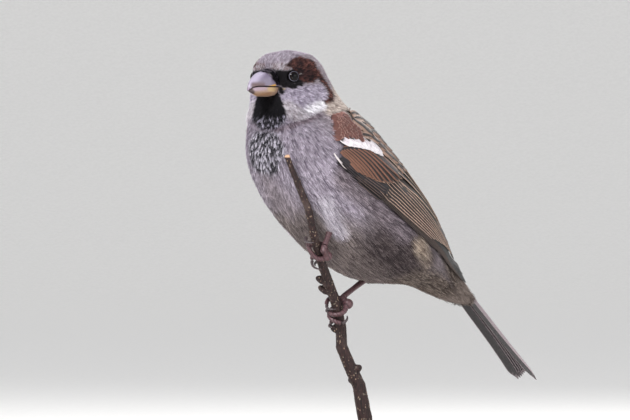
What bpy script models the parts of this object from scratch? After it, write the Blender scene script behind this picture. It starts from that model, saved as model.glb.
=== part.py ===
"""House sparrow, male, life size, clinging to a cut twig on a plain display stand.

Metres, Z up, standing on the floor at Z = 0 with the middle of the base at the origin.
The bird heads along -X, head up, its left side towards -Y.
"""

import math

import bmesh
import bpy
from mathutils import Matrix, Vector
from mathutils.bvhtree import BVHTree

MM = 0.001
GAP = 0.3                       # clearance between neighbouring pieces, mm
STAND_X = 15.8                  # middle of the base in the bird's own frame, mm
STAND_Y = -0.9
UP = (0.0, 0.0, 1.0)

# The bird's rings from the end of the tail coverts to the top of the crown, mm.
# Each: belly-side x and z, back-side x and z, half width across.
TAIL_COVERTS = (60.6, 69.4, 62.7, 71.3, 5.2)
TAIL_BASE = (50.6, 72.0, 57.0, 78.3, 7.4)
VENT = (40.0, 75.8, 50.3, 85.6, 11.2)
RUMP = (30.0, 76.4, 45.4, 93.2, 16.0)
LOW_BELLY = (19.4, 77.6, 39.3, 101.4, 19.2)
BELLY = (7.6, 82.9, 33.2, 108.6, 20.8)
FLANK = (-2.8, 90.4, 27.2, 115.2, 21.0)
LOW_BREAST = (-12.8, 99.9, 21.2, 121.3, 20.7)
BREAST = (-19.6, 109.2, 15.4, 127.4, 19.2)
SHOULDER = (-22.8, 117.4, 10.2, 131.8, 17.0)
NECK = (-23.2, 125.2, 7.2, 135.4, 14.2)
COLLAR = (-23.2, 131.2, 6.4, 138.2, 12.6)
CHIN = (-23.2, 135.6, 5.4, 140.4, 11.9)
GAPE = (-23.6, 139.2, 4.0, 142.2, 11.0)
EYE_LINE = (-23.8, 142.6, 2.4, 144.4, 10.5)
BROW = (-22.6, 146.1, 0.2, 146.9, 9.4)
CROWN = (-19.2, 149.3, -2.6, 149.3, 6.7)
RINGS = (TAIL_COVERTS, TAIL_BASE, VENT, RUMP, LOW_BELLY, BELLY, FLANK, LOW_BREAST, BREAST,
         SHOULDER, NECK, COLLAR, CHIN, GAPE, EYE_LINE, BROW, CROWN)
CROWN_TOP = (-10.6, 150.9)      # pole of the crown, x and z
RING_POWER = 2.25               # squareness of every ring
RING_SIDES = 24

RUMP_CUT = 2.6                  # where the bird is parted, counted in rings from the tail
NECK_CUT = 9.5
HEAD_CUT = 11.4

HEAD_X = -10.7                  # upright axis of the head
HEAD_TURN = math.radians(-19)   # head turned to the bird's left
EYE_AHEAD = 8.0                 # eye centre ahead of that axis
EYE_SIDE = 6.6
EYE_Z = 142.0
EYE_RADIUS = 2.1

BILL_TIP = 23.4                 # ahead of the head's axis
BILL_LENGTH = 12.4              # tip to the root hidden in the face
BILL_TIP_Z = 137.5
BILL_SEAM_Z = 138.8             # line where the two halves meet
CULMEN_RISE = 5.2
CHIN_DROP = 3.0
BILL_HALF_WIDTH = 3.9

# Folded wing: lower edge from the shoulder to the tip, then the edge along the back, mm.
WING_LOWER = ((-6.8, -18.9, 116.5), (3.0, -20.6, 109.6), (12.6, -21.2, 103.0),
              (27.0, -18.6, 93.8), (42.0, -13.0, 85.4), (56.4, -7.4, 78.3))
WING_UPPER = ((-4.5, -14.6, 130.0), (8.0, -8.6, 130.6), (20.0, -4.6, 120.2),
              (33.5, -3.2, 107.0), (46.5, -3.4, 91.0), (57.0, -6.6, 79.6))
WING_LIFT = 0.5                 # wing surface above the body's
WING_THICK_FRONT = 1.9
WING_THICK_TIP = 0.8
COVERT_END = 0.4                # share of the wing's length covered by the coverts
FLIGHT_SPLIT = 0.40             # primaries below, tertials above, across the wing
TERTIAL_END = 0.84

TAIL_ROOT = (48.1, 86.5)        # x and z of the tail's axis inside the rump
TAIL_PITCH = math.radians(45.4)
TAIL_START = 21.6               # first exposed part along the axis
TAIL_LENGTH = 58.0
TAIL_HALF_ROOT = 4.3
TAIL_HALF_TIP = 6.3
TAIL_NOTCH = 2.0
TAIL_THICK = 1.7
TAIL_ROOF = 1.3                 # the outer feathers lie this much lower

# View axes for the perch and the legs: across, towards the watcher, up.
SIDE_TURN = math.radians(-38)

# Twig from its cut tip down: across, forward, up, radius.
TWIG = ((-8.9, 24.2, 117.1, 0.85), (-7.2, 22.2, 112.6, 0.95), (-5.1, 19.8, 107.6, 1.1),
        (-2.2, 17.0, 100.6, 1.25), (-0.6, 12.6, 92.7, 1.35), (1.9, 6.6, 83.8, 1.5),
        (4.4, 1.6, 76.8, 1.6), (6.7, -1.9, 70.2, 1.75), (8.3, -4.9, 62.2, 1.85),
        (8.5, -6.4, 56.5, 1.95), (11.1, -7.8, 50.2, 2.05), (14.0, -8.9, 44.1, 2.2),
        (15.9, -9.8, 33.7, 2.45), (16.6, -10.2, 24.0, 2.5))
# Buds on the twig: height, direction round it (0 faces the watcher), length, radius.
BUDS = ((76.6, 285.0, 4.2, 1.4), (73.4, 262.0, 4.6, 1.4), (75.6, 325.0, 2.6, 1.5),
        (61.2, 275.0, 3.2, 1.3), (48.6, 75.0, 3.0, 1.4), (44.6, 270.0, 3.0, 1.2))
BUD_LEAN = 0.5                  # rise of a bud for each step outwards

TOE_RADIUS = 0.86
CLAW_RADIUS = 0.55
SHANK_RADIUS = 0.95
KNEE_RADIUS = 1.05
LEG_COLOUR = (0.3, 0.17, 0.16)

# Feet: the palm's direction round the twig, height and size; then where each toe ends
# (direction, middle height, end height), and each claw (directions and heights of its ends).
FOOT_LEFT = {
    "palm": (48.0, 85.9, 1.55),
    "toes": {"inner": (-92.0, 84.6, 90.4), "middle": (266.0, 85.9, 84.9),
             "outer": (224.0, 88.4, 88.0), "hind": (190.0, 83.0, 82.8)},
    "claws": {"inner": (-96.0, -14.0, 91.7, 91.2), "middle": (276.0, 342.0, 84.6, 82.9),
              "outer": (234.0, 256.0, 87.9, 87.4), "hind": (200.0, 240.0, 82.7, 82.3)},
}
FOOT_RIGHT = {
    "palm": (105.0, 69.2, 1.7),
    "toes": {"inner": (266.0, 72.2, 70.8), "middle": (366.0, 68.2, 65.0),
             "outer": (250.0, 65.6, 64.2), "hind": (-62.0, 66.9, 68.4)},
    "claws": {"inner": (276.0, 350.0, 70.6, 69.7), "middle": (376.0, 426.0, 64.8, 66.2),
              "outer": (260.0, 294.0, 64.0, 63.5), "hind": (-72.0, -108.0, 68.5, 68.9)},
}
ANKLE_LEFT = (3.0, 11.6, 88.6)  # across, forward, up
KNEE_LEFT = (4.6, 8.9, 93.0)
ANKLE_RIGHT = (9.2, -5.6, 72.6)
KNEE_RIGHT = (15.6, -17.4, 77.4)
THIGH_LENGTH = 4.6
THIGH_RADIUS = 2.7

BASE_RADIUS = 41.0
BASE_HEIGHT = 12.0
BASE_BEVEL = 2.0
ROD_RADIUS = 2.1
FLANGE_RADIUS = 4.5
CUP_RADIUS = 4.0
CUP_TOP = 29.0


def clear_scene():
    for old in list(bpy.data.objects):
        bpy.data.objects.remove(old, do_unlink=True)


def material(name, colour, roughness, metallic=0.0):
    made = bpy.data.materials.new(name)
    made.use_nodes = True
    shader = made.node_tree.nodes["Principled BSDF"]
    shader.inputs["Base Color"].default_value = (*colour, 1.0)
    shader.inputs["Roughness"].default_value = roughness
    shader.inputs["Metallic"].default_value = metallic
    return made


def add_object(name, bm, colour=(0.5, 0.5, 0.5), roughness=0.8, metallic=0.0, smooth=True):
    """One named object from a bmesh in millimetres of the bird's frame."""
    bmesh.ops.recalc_face_normals(bm, faces=bm.faces)
    shift = Matrix.Translation((-STAND_X * MM, -STAND_Y * MM, 0.0)) @ Matrix.Scale(MM, 4)
    bmesh.ops.transform(bm, matrix=shift, verts=bm.verts)
    for face in bm.faces:
        face.smooth = smooth
    mesh = bpy.data.meshes.new(name)
    bm.to_mesh(mesh)
    bm.free()
    obj = bpy.data.objects.new(name, mesh)
    bpy.context.scene.collection.objects.link(obj)
    mesh.materials.append(material(name, colour, roughness, metallic))
    return obj


def hide_guide(obj):
    obj.hide_render = True
    obj.display_type = "WIRE"
    return obj


def join_shape(obj, other, operation):
    mod = obj.modifiers.new(operation.lower() + "_" + other.name, "BOOLEAN")
    mod.operation = operation
    mod.solver = "EXACT"
    mod.object = hide_guide(other)


def curve_point(points, along):
    """Point at 0..1 on a smooth curve through the given points, straight on past its ends."""
    count = len(points) - 1
    place = min(max(along, 0.0), 1.0) * count
    i = min(int(place), count - 1)
    f = place - i
    p1 = Vector(points[i])
    p2 = Vector(points[i + 1])
    p0 = Vector(points[i - 1]) if i > 0 else p1 * 2.0 - p2
    p3 = Vector(points[i + 2]) if i + 2 <= count else p2 * 2.0 - p1
    point = 0.5 * (2.0 * p1 + (p2 - p0) * f + (2.0 * p0 - 5.0 * p1 + 4.0 * p2 - p3) * f * f
                   + (3.0 * p1 - p0 - 3.0 * p2 + p3) * f * f * f)
    beyond = along - min(max(along, 0.0), 1.0)
    if beyond:
        point = point + (p2 - p1) * beyond * count
    return point


def loft(rings, first_pole=None, last_pole=None):
    """Closed bmesh through rings of equal length, ended flat or in a pole."""
    bm = bmesh.new()
    rows = [[bm.verts.new(p) for p in ring] for ring in rings]
    sides = len(rows[0])
    for low, high in zip(rows, rows[1:]):
        for k in range(sides):
            n = (k + 1) % sides
            bm.faces.new((low[k], low[n], high[n], high[k]))
    for row, pole in ((rows[0], first_pole), (rows[-1], last_pole)):
        if pole is None:
            bm.faces.new(row)
        else:
            tip = bm.verts.new(pole)
            for k in range(sides):
                bm.faces.new((row[k], row[(k + 1) % sides], tip))
    return bm


def tube(points, radii, sides=10, tip=None):
    """Round rod along a path, its section turned as little as possible."""
    rings = []
    normal = None
    for i, point in enumerate(points):
        ahead = points[min(i + 1, len(points) - 1)] - points[max(i - 1, 0)]
        ahead.normalize()
        if normal is None:
            normal = ahead.orthogonal().normalized()
        normal = (normal - ahead * normal.dot(ahead)).normalized()
        side = ahead.cross(normal)
        ring = []
        for k in range(sides):
            a = 2.0 * math.pi * k / sides
            ring.append(point + (normal * math.cos(a) + side * math.sin(a)) * radii[i])
        rings.append(ring)
    return loft(rings, last_pole=tip)


def ellipsoid(centre, axis, length, radius, sides=12, rows=8):
    bm = bmesh.new()
    bmesh.ops.create_uvsphere(bm, u_segments=sides, v_segments=rows, radius=1.0)
    turn = Vector((0.0, 0.0, 1.0)).rotation_difference(Vector(axis)).to_matrix().to_4x4()
    size = Matrix.Diagonal((radius, radius, length, 1.0))
    bmesh.ops.transform(bm, matrix=Matrix.Translation(centre) @ turn @ size, verts=bm.verts)
    return bm


def from_view(across, forward, up):
    """Point given across, towards the watcher and up, in the bird's frame."""
    c = math.cos(SIDE_TURN)
    s = math.sin(SIDE_TURN)
    return Vector((across * c + forward * s, across * s - forward * c, up))


def head_point(ahead, left, up):
    """Point given from the head's upright axis."""
    c = math.cos(HEAD_TURN)
    s = math.sin(HEAD_TURN)
    return Vector((HEAD_X - ahead * c - left * s, ahead * s - left * c, up))


def power(value, exponent):
    return math.copysign(abs(value) ** exponent, value)


def body_ring(place):
    """One ring of the bird at a place counted in rings from the tail."""
    belly_x, belly_z, back_x, back_z, half = ring_sizes(place)
    belly = Vector((belly_x, 0.0, belly_z))
    back = Vector((back_x, 0.0, back_z))
    middle = (belly + back) * 0.5
    rise = (back - belly) * 0.5
    ring = []
    for k in range(RING_SIDES):
        a = 2.0 * math.pi * k / RING_SIDES
        up = power(math.cos(a), 2.0 / RING_POWER)
        out = power(math.sin(a), 2.0 / RING_POWER)
        ring.append(middle + rise * up + Vector((0.0, -half * out, 0.0)))
    turn = min(max((place - NECK_CUT) / 2.0, 0.0), 1.0) * HEAD_TURN
    pivot = Vector((HEAD_X, 0.0, 0.0))
    spin = Matrix.Rotation(-turn, 3, "Z")
    return [pivot + spin @ (p - pivot) for p in ring]


def ring_sizes(place):
    """Five sizes of a ring, smoothly between the named ones."""
    count = len(RINGS) - 1
    i = min(int(place), count - 1)
    f = place - i
    sizes = []
    for k in range(5):
        p1 = RINGS[i][k]
        p2 = RINGS[i + 1][k]
        p0 = RINGS[i - 1][k] if i > 0 else 2.0 * p1 - p2
        p3 = RINGS[i + 2][k] if i + 2 <= count else 2.0 * p2 - p1
        sizes.append(0.5 * (2.0 * p1 + (p2 - p0) * f + (2.0 * p0 - 5.0 * p1 + 4.0 * p2 - p3) * f * f
                            + (3.0 * p1 - p0 - 3.0 * p2 + p3) * f ** 3))
    return sizes


def body_piece(first, last, rows, crown=False):
    """Part of the bird between two places, with its share of the clearance."""
    rings = []
    for i in range(rows + 1):
        rings.append(body_ring(first + (last - first) * i / rows))
    pole = None
    if crown:
        pole = Vector((CROWN_TOP[0], 0.0, CROWN_TOP[1]))
    return loft(rings, last_pole=pole)


def body_surface():
    """The whole uncut bird, to lay the wings on."""
    bm = body_piece(0.0, len(RINGS) - 1.0, 64, crown=True)
    bmesh.ops.recalc_face_normals(bm, faces=bm.faces)
    tree = BVHTree.FromBMesh(bm)
    bm.free()
    return tree


def wing_point(tree, along, across):
    """Point on the left wing's outer surface: along from the shoulder, across from the lower edge.

    Past the wing's edges the surface follows the body.
    """
    low = curve_point(WING_LOWER, along)
    high = curve_point(WING_UPPER, along)
    point = low.lerp(high, across)
    beyond = along < 0.6 and (across < 0.0 or across > 1.0)
    for _ in range(2):
        near, normal, _, _ = tree.find_nearest(point)
        away = (point - near).dot(normal)
        if away < WING_LIFT or (beyond and away < 4.0):
            point = point + normal * (WING_LIFT - away)
    return point


def wing_thickness(along):
    return WING_THICK_FRONT + (WING_THICK_TIP - WING_THICK_FRONT) * min(along / 0.7, 1.0)


def wing_grid(tree, span, edges, rows, columns):
    """Points and outward directions over part of the wing; edges gives the strip at a place along."""
    grid = []
    for i in range(rows + 1):
        along = span[0] + (span[1] - span[0]) * i / rows
        low, high = edges(along)
        line = []
        for j in range(columns + 1):
            across = low + (high - low) * j / columns
            here = wing_point(tree, along, across)
            ahead = wing_point(tree, along + 0.02, across) - here
            over = wing_point(tree, along, across + 0.04) - here
            normal = ahead.cross(over).normalized()
            if normal.dot(Vector((0.2, -1.0, 0.6))) < 0.0:
                normal = -normal
            line.append((here, normal, along))
        grid.append(line)
    return grid


def sheet_solid(grid, outer, inner):
    """Closed sheet from a grid, given offsets along the outward direction."""
    bm = bmesh.new()
    top = [[bm.verts.new(p + n * outer(s)) for p, n, s in line] for line in grid]
    low = [[bm.verts.new(p + n * inner(s)) for p, n, s in line] for line in grid]
    rows = len(grid) - 1
    columns = len(grid[0]) - 1
    for i in range(rows):
        for j in range(columns):
            bm.faces.new((top[i][j], top[i + 1][j], top[i + 1][j + 1], top[i][j + 1]))
            bm.faces.new((low[i][j], low[i][j + 1], low[i + 1][j + 1], low[i + 1][j]))
    rim = [(i, 0) for i in range(rows)]
    rim += [(rows, j) for j in range(columns)]
    rim += [(i, columns) for i in range(rows, 0, -1)]
    rim += [(0, j) for j in range(columns, 0, -1)]
    for (a, b), (c, d) in zip(rim, rim[1:] + rim[:1]):
        bm.faces.new((top[a][b], top[c][d], low[c][d], low[a][b]))
    return bm


def tertial_edges(along):
    """Strip of the tertials, drawn in to a rounded end."""
    start = TERTIAL_END - 0.16
    draw = max((along - start) / (TERTIAL_END - start), 0.0)
    return FLIGHT_SPLIT + 0.008, 1.0 - 0.34 * draw ** 2


def wing_pieces(tree, side):
    """Coverts, tertials and primaries of one wing, and the cutter that seats them on the body."""
    coverts = wing_grid(tree, (0.0, COVERT_END - 0.003), lambda s: (0.0, 1.0), 7, 6)
    tertials = wing_grid(tree, (COVERT_END + 0.003, TERTIAL_END), tertial_edges, 8, 4)
    primaries = wing_grid(tree, (COVERT_END + 0.003, 1.0), lambda s: (0.0, FLIGHT_SPLIT - 0.008), 11, 3)
    seat = wing_grid(tree, (-0.012, 1.01), lambda s: (-0.08 - 0.1 * s, 1.05 + 0.1 * s), 15, 6)
    made = []
    for grid in (coverts, tertials, primaries):
        made.append(sheet_solid(grid, lambda s: 0.0, lambda s: -wing_thickness(s)))
    made.append(sheet_solid(seat, lambda s: 9.0, lambda s: -wing_thickness(s) - GAP - 0.3))
    if side == "right":
        for bm in made:
            bmesh.ops.transform(bm, matrix=Matrix.Diagonal((1.0, -1.0, 1.0, 1.0)), verts=bm.verts)
    return made


def make_wings(tree, body_parts):
    for side in ("left", "right"):
        coverts, tertials, primaries, seat = wing_pieces(tree, side)
        add_object("wing_coverts_" + side, coverts, (0.19, 0.09, 0.06), 0.8)
        add_object("wing_tertials_" + side, tertials, (0.12, 0.07, 0.05), 0.75)
        add_object("wing_primaries_" + side, primaries, (0.07, 0.05, 0.045), 0.7)
        cutter = add_object("seat_wing_" + side, seat)
        for part in body_parts:
            join_shape(part, cutter, "DIFFERENCE")


def make_body():
    """Rump, trunk, neck and head, parted by thin gaps."""
    gap = 0.02
    rump = add_object("rump", body_piece(0.0, RUMP_CUT - gap, 8), (0.3, 0.26, 0.25), 0.85)
    trunk = add_object("trunk", body_piece(RUMP_CUT + gap, NECK_CUT - gap, 14), (0.48, 0.43, 0.44), 0.85)
    neck = add_object("neck", body_piece(NECK_CUT + gap, HEAD_CUT - gap, 5), (0.45, 0.4, 0.42), 0.85)
    top = len(RINGS) - 1.0
    head = add_object("head", body_piece(HEAD_CUT + gap, top, 12, crown=True), (0.33, 0.28, 0.3), 0.85)
    return rump, trunk, neck, head


def make_eyes(head):
    for side, sign in (("left", 1.0), ("right", -1.0)):
        centre = head_point(EYE_AHEAD, EYE_SIDE * sign, EYE_Z)
        eye = ellipsoid(centre, UP, EYE_RADIUS, EYE_RADIUS, 16, 8)
        add_object("eye_" + side, eye, (0.02, 0.014, 0.012), 0.1)
        socket = ellipsoid(centre, UP, EYE_RADIUS + GAP, EYE_RADIUS + GAP, 14, 8)
        join_shape(head, add_object("socket_" + side, socket), "DIFFERENCE")


def bill_sizes(back):
    """Culmen height, half width and chin depth of the bill at a distance behind its tip."""
    share = min(max(back / 9.0, 0.0), 1.0)
    rise = CULMEN_RISE * (0.04 + 0.96 * share ** 0.62)
    wide = BILL_HALF_WIDTH * (0.06 + 0.94 * share ** 0.92)
    drop = CHIN_DROP * (0.05 + 0.95 * min(back / 4.6, 1.0) ** 0.6)
    return rise, wide, drop


def bill_half(upper, grow=0.0):
    """Upper or lower half of the bill; grow enlarges it for the seat in the face."""
    rings = []
    rows = 8
    arc = 6
    lead = 0.0 if upper else 0.55
    for i in range(rows + 1):
        back = lead + (BILL_LENGTH + grow - lead) * (i / rows) ** 1.35
        rise, wide, drop = bill_sizes(back - lead)
        seam = BILL_SEAM_Z + (BILL_TIP_Z - BILL_SEAM_Z) * max(1.0 - back / 2.4, 0.0) ** 2
        base = seam + (0.5 * GAP - grow if upper else -0.5 * GAP + grow)
        height = rise + grow * 2.0 if upper else -drop - grow * 2.0
        spread = (wide if upper else wide * 0.94) + grow
        ring = []
        for k in range(arc + 1):
            a = math.pi * k / arc
            left = spread * power(math.cos(a), 0.92)
            ring.append(head_point(BILL_TIP - back + grow, left, base + height * math.sin(a) ** 0.85))
        for k in (2, 4):
            left = spread * (2.0 * k / arc - 1.0)
            ring.append(head_point(BILL_TIP - back + grow, left, base))
        rings.append(ring)
    return loft(rings)


def make_bill(head):
    add_object("bill_upper", bill_half(True), (0.5, 0.44, 0.5), 0.35)
    add_object("bill_lower", bill_half(False), (0.6, 0.45, 0.34), 0.35)
    for name, upper in (("seat_bill_upper", True), ("seat_bill_lower", False)):
        join_shape(head, add_object(name, bill_half(upper, GAP)), "DIFFERENCE")


def make_tail():
    """The closed tail: a low roof of overlapping feathers with a shallow notch."""
    axis = Vector((math.cos(TAIL_PITCH), 0.0, -math.sin(TAIL_PITCH)))
    over = Vector((math.sin(TAIL_PITCH), 0.0, math.cos(TAIL_PITCH)))
    root = Vector((TAIL_ROOT[0], 0.0, TAIL_ROOT[1]))
    rows = 8
    columns = 8
    rings = []
    for i in range(rows + 1):
        share = i / rows
        ring = []
        for j in range(columns + 1):
            across = 2.0 * j / columns - 1.0
            ring.append(tail_point(root, axis, over, share, across, 0.0))
        for j in range(columns, -1, -1):
            across = 2.0 * j / columns - 1.0
            ring.append(tail_point(root, axis, over, share, across, 1.0))
        rings.append(ring)
    add_object("tail", loft(rings), (0.09, 0.075, 0.07), 0.7)


def tail_point(root, axis, over, share, across, under):
    half = TAIL_HALF_ROOT + (TAIL_HALF_TIP - TAIL_HALF_ROOT) * share ** 2.6
    end = TAIL_LENGTH - TAIL_NOTCH * (1.0 - abs(across) / 0.7) ** 2
    if abs(across) > 0.7:
        end = TAIL_LENGTH - 2.2 * ((abs(across) - 0.7) / 0.3) ** 2
    along = TAIL_START + (end - TAIL_START) * share
    thick = TAIL_THICK * (1.0 - 0.45 * share) * (1.0 - 0.45 * across * across)
    height = 0.45 - TAIL_ROOF * across * across - thick * under
    return root + axis * along + over * height + Vector((0.0, half * across, 0.0))


def twig_at(height):
    """Centre and radius of the twig at a height."""
    for high, low in zip(TWIG, TWIG[1:]):
        if height >= low[2]:
            f = (high[2] - height) / (high[2] - low[2])
            sizes = [high[k] + (low[k] - high[k]) * f for k in range(4)]
            return from_view(sizes[0], sizes[1], height), sizes[3]
    return from_view(*TWIG[-1][:3]), TWIG[-1][3]


def round_twig(height, degrees, distance):
    """Point beside the twig: 0 degrees faces the watcher, 90 is to the watcher's right."""
    centre, radius = twig_at(height)
    axis = (twig_at(height + 1.0)[0] - twig_at(height - 1.0)[0]).normalized()
    a = math.radians(degrees)
    out = from_view(math.sin(a), math.cos(a), 0.0)
    out = (out - axis * out.dot(axis)).normalized()
    return centre + out * (radius + distance)


def make_twig():
    points = []
    radii = []
    for high, low in zip(TWIG, TWIG[1:]):
        steps = max(1, round((high[2] - low[2]) / 6.0))
        for k in range(steps):
            centre, radius = twig_at(high[2] + (low[2] - high[2]) * k / steps)
            points.append(centre)
            radii.append(radius)
    points.append(from_view(*TWIG[-1][:3]))
    radii.append(TWIG[-1][3])
    twig = add_object("perch_twig", tube(points, radii, 10), (0.045, 0.026, 0.022), 0.85)
    for i, (height, degrees, length, radius) in enumerate(BUDS):
        out = from_view(math.sin(math.radians(degrees)), math.cos(math.radians(degrees)), BUD_LEAN)
        out.normalize()
        centre, _ = twig_at(height)
        bud = ellipsoid(centre + out * (length * 0.45 + 0.5), out, length * 0.6, radius, 8, 6)
        join_shape(twig, add_object("bud_" + str(i), bud), "UNION")


def toe_path(start, first, toe, rows):
    end, middle, last = toe
    points = []
    for i in range(rows + 1):
        f = i / rows
        height = first * (1.0 - f) ** 2 + 2.0 * middle * f * (1.0 - f) + last * f * f
        points.append(round_twig(height, start + (end - start) * f, TOE_RADIUS + GAP))
    return points


def claw_path(claw, rows):
    start, end, first, last = claw
    points = []
    for i in range(rows + 1):
        f = i / rows
        distance = TOE_RADIUS + GAP + 0.9 * math.sin(math.pi * f) * 0.6
        points.append(round_twig(first + (last - first) * f, start + (end - start) * f, distance))
    return points


def make_foot(side, foot, ankle, along):
    """Foot with its toes joined, and four separate claws."""
    degrees, height, size = foot["palm"]
    palm_at = round_twig(height, degrees, size + GAP)
    palm = ellipsoid(palm_at, UP, size, size)
    body = add_object("foot_" + side, palm, LEG_COLOUR, 0.6)
    instep = tube([palm_at, ankle - along * 1.4, ankle], [size * 0.72, 1.05, SHANK_RADIUS], 10)
    join_shape(body, add_object("instep_" + side, instep), "UNION")
    for name, toe in foot["toes"].items():
        path = toe_path(degrees, height, toe, 9)
        radii = [TOE_RADIUS * (1.0 - 0.16 * i / 9.0) for i in range(10)]
        join_shape(body, add_object("toe_" + name + "_" + side, tube(path, radii, 6)), "UNION")
    for name, claw in foot["claws"].items():
        path = claw_path(claw, 5)
        radii = [CLAW_RADIUS * (1.0 - 0.72 * i / 5.0) for i in range(6)]
        point = path[-1] + (path[-1] - path[-2]) * 0.3
        add_object("claw_" + name + "_" + side, tube(path, radii, 6, tip=point), (0.22, 0.2, 0.22), 0.4)


def make_leg(side, foot, ankle, knee, trunk):
    """Foot, bare shank and the feathered end of the thigh, seated in the belly."""
    along = (knee - ankle).normalized()
    make_foot(side, foot, ankle, along)
    path = [ankle + along * GAP, ankle.lerp(knee, 0.5), knee]
    shank = tube(path, [SHANK_RADIUS, SHANK_RADIUS * 0.9, KNEE_RADIUS], 12)
    add_object("shank_" + side, shank, LEG_COLOUR, 0.6)
    centre = knee + along * (THIGH_LENGTH + GAP)
    thigh = ellipsoid(centre, along, THIGH_LENGTH, THIGH_RADIUS)
    add_object("thigh_" + side, thigh, (0.42, 0.37, 0.38), 0.85)
    seat = ellipsoid(centre, along, THIGH_LENGTH + GAP, THIGH_RADIUS + GAP)
    join_shape(trunk, add_object("seat_thigh_" + side, seat), "DIFFERENCE")
    room = tube([ankle, knee + along], [SHANK_RADIUS + GAP, KNEE_RADIUS + GAP], 12)
    join_shape(trunk, add_object("seat_shank_" + side, room), "DIFFERENCE")


def lathe(profile, centre, sides):
    """Closed solid of revolution from radius and height pairs, poles where the radius is zero."""
    bm = bmesh.new()
    rows = []
    for radius, height in profile:
        if radius == 0.0:
            rows.append([bm.verts.new(centre + Vector((0.0, 0.0, height)))])
            continue
        row = []
        for k in range(sides):
            a = 2.0 * math.pi * k / sides
            row.append(bm.verts.new(centre + Vector((radius * math.cos(a), radius * math.sin(a), height))))
        rows.append(row)
    for low, high in zip(rows, rows[1:]):
        for k in range(sides):
            n = (k + 1) % sides
            if len(low) == 1:
                bm.faces.new((low[0], high[n], high[k]))
            elif len(high) == 1:
                bm.faces.new((low[k], low[n], high[0]))
            else:
                bm.faces.new((low[k], low[n], high[n], high[k]))
    return bm


def make_stand():
    """Round wooden base and a short metal rod with a cup for the twig's cut end."""
    middle = Vector((STAND_X, STAND_Y, 0.0))
    edge = []
    for k in range(4):
        a = math.pi * 0.5 * k / 3.0
        inward = BASE_BEVEL * (1.0 - math.cos(a))
        edge.append((BASE_RADIUS - inward, BASE_HEIGHT - BASE_BEVEL * (1.0 - math.sin(a))))
    profile = [(0.0, 0.0), (BASE_RADIUS - 0.6, 0.0), (BASE_RADIUS, 0.6)] + edge + [(0.0, BASE_HEIGHT)]
    add_object("stand_base", lathe(profile, middle, 32), (0.16, 0.08, 0.04), 0.5)
    foot = from_view(TWIG[-1][0], TWIG[-1][1], 0.0)
    bore = TWIG[-1][3] + 0.5
    floor = TWIG[-1][2] - GAP - 0.2
    start = BASE_HEIGHT + GAP
    profile = [(0.0, start), (FLANGE_RADIUS, start), (FLANGE_RADIUS, start + 1.0),
               (ROD_RADIUS, start + 1.8), (ROD_RADIUS, floor - 3.0), (CUP_RADIUS, floor - 1.4),
               (CUP_RADIUS, CUP_TOP), (bore, CUP_TOP), (bore, floor), (0.0, floor)]
    add_object("stand_rod", lathe(profile, foot, 16), (0.5, 0.36, 0.16), 0.3, 1.0)


def main():
    clear_scene()
    rump, trunk, neck, head = make_body()
    make_wings(body_surface(), (rump, trunk, neck))
    make_eyes(head)
    make_bill(head)
    make_tail()
    make_twig()
    make_leg("left", FOOT_LEFT, from_view(*ANKLE_LEFT), from_view(*KNEE_LEFT), trunk)
    make_leg("right", FOOT_RIGHT, from_view(*ANKLE_RIGHT), from_view(*KNEE_RIGHT), trunk)
    make_stand()


main()
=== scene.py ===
"""Life-size museum model of a male house sparrow on a cut twig, held by a small display stand."""

import math

import bmesh
import bpy
import numpy as np
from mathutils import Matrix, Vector, noise
from mathutils.bvhtree import BVHTree
from mathutils.kdtree import KDTree


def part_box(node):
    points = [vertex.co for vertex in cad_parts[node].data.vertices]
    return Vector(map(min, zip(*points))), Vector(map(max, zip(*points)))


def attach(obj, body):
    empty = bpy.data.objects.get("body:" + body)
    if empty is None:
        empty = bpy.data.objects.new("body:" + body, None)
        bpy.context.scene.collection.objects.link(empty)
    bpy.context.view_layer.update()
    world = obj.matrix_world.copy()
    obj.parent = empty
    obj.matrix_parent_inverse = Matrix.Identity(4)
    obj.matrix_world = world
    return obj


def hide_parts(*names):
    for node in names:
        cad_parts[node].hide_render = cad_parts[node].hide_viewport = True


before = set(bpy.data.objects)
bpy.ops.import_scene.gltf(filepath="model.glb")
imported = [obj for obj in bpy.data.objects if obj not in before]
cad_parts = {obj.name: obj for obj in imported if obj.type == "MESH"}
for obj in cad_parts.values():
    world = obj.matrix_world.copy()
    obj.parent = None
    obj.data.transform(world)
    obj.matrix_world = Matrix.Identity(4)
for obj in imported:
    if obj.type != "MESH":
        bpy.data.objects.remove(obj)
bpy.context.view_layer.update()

bl_info = {
    "name": "House sparrow model",
    "version": (1, 0, 0),
    "blender": (4, 5, 0),
    "location": "View3D > Sidebar > Sparrow",
    "description": "Builds the plumage, bill, legs, perch and stand of a house sparrow",
    "category": "Object",
}

MM = 0.001
SIDES = ("left", "right")
UP = (0.0, 0.0, 1.0)

# The camera: its turn round the bird, distance in metres, sensor in mm and the width it sees in metres.
CAMERA_TURN = math.radians(-38)
CAMERA_AWAY = 2.0
CAMERA_SENSOR = 36
PICTURE_WIDTH = 0.200
# The floor is flat to this radius in metres and then rises in a round bend.
FLOOR_FLAT = 4.2
FLOOR_BEND = 1.8
FLOOR_STEPS = 12
FLOOR_SIDES = 96

# The eyes look this far ahead and up against their way out to the side.
EYE_FORWARD = 0.60
EYE_UPWARD = 0.06
# Points round an eyeball, and rings from its front to its back.
EYE_TURNS, EYE_RINGS = 48, 20
# Skin and coat keep clear of the eye by this share of its radius.
EYE_CLEAR = 1.02
# The lids: their opening in degrees from the eye's axis, their small folds, and points round them.
LID_OPENING = 46.0
LID_SCALLOPS = 16
LID_TURNS = 64

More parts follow.
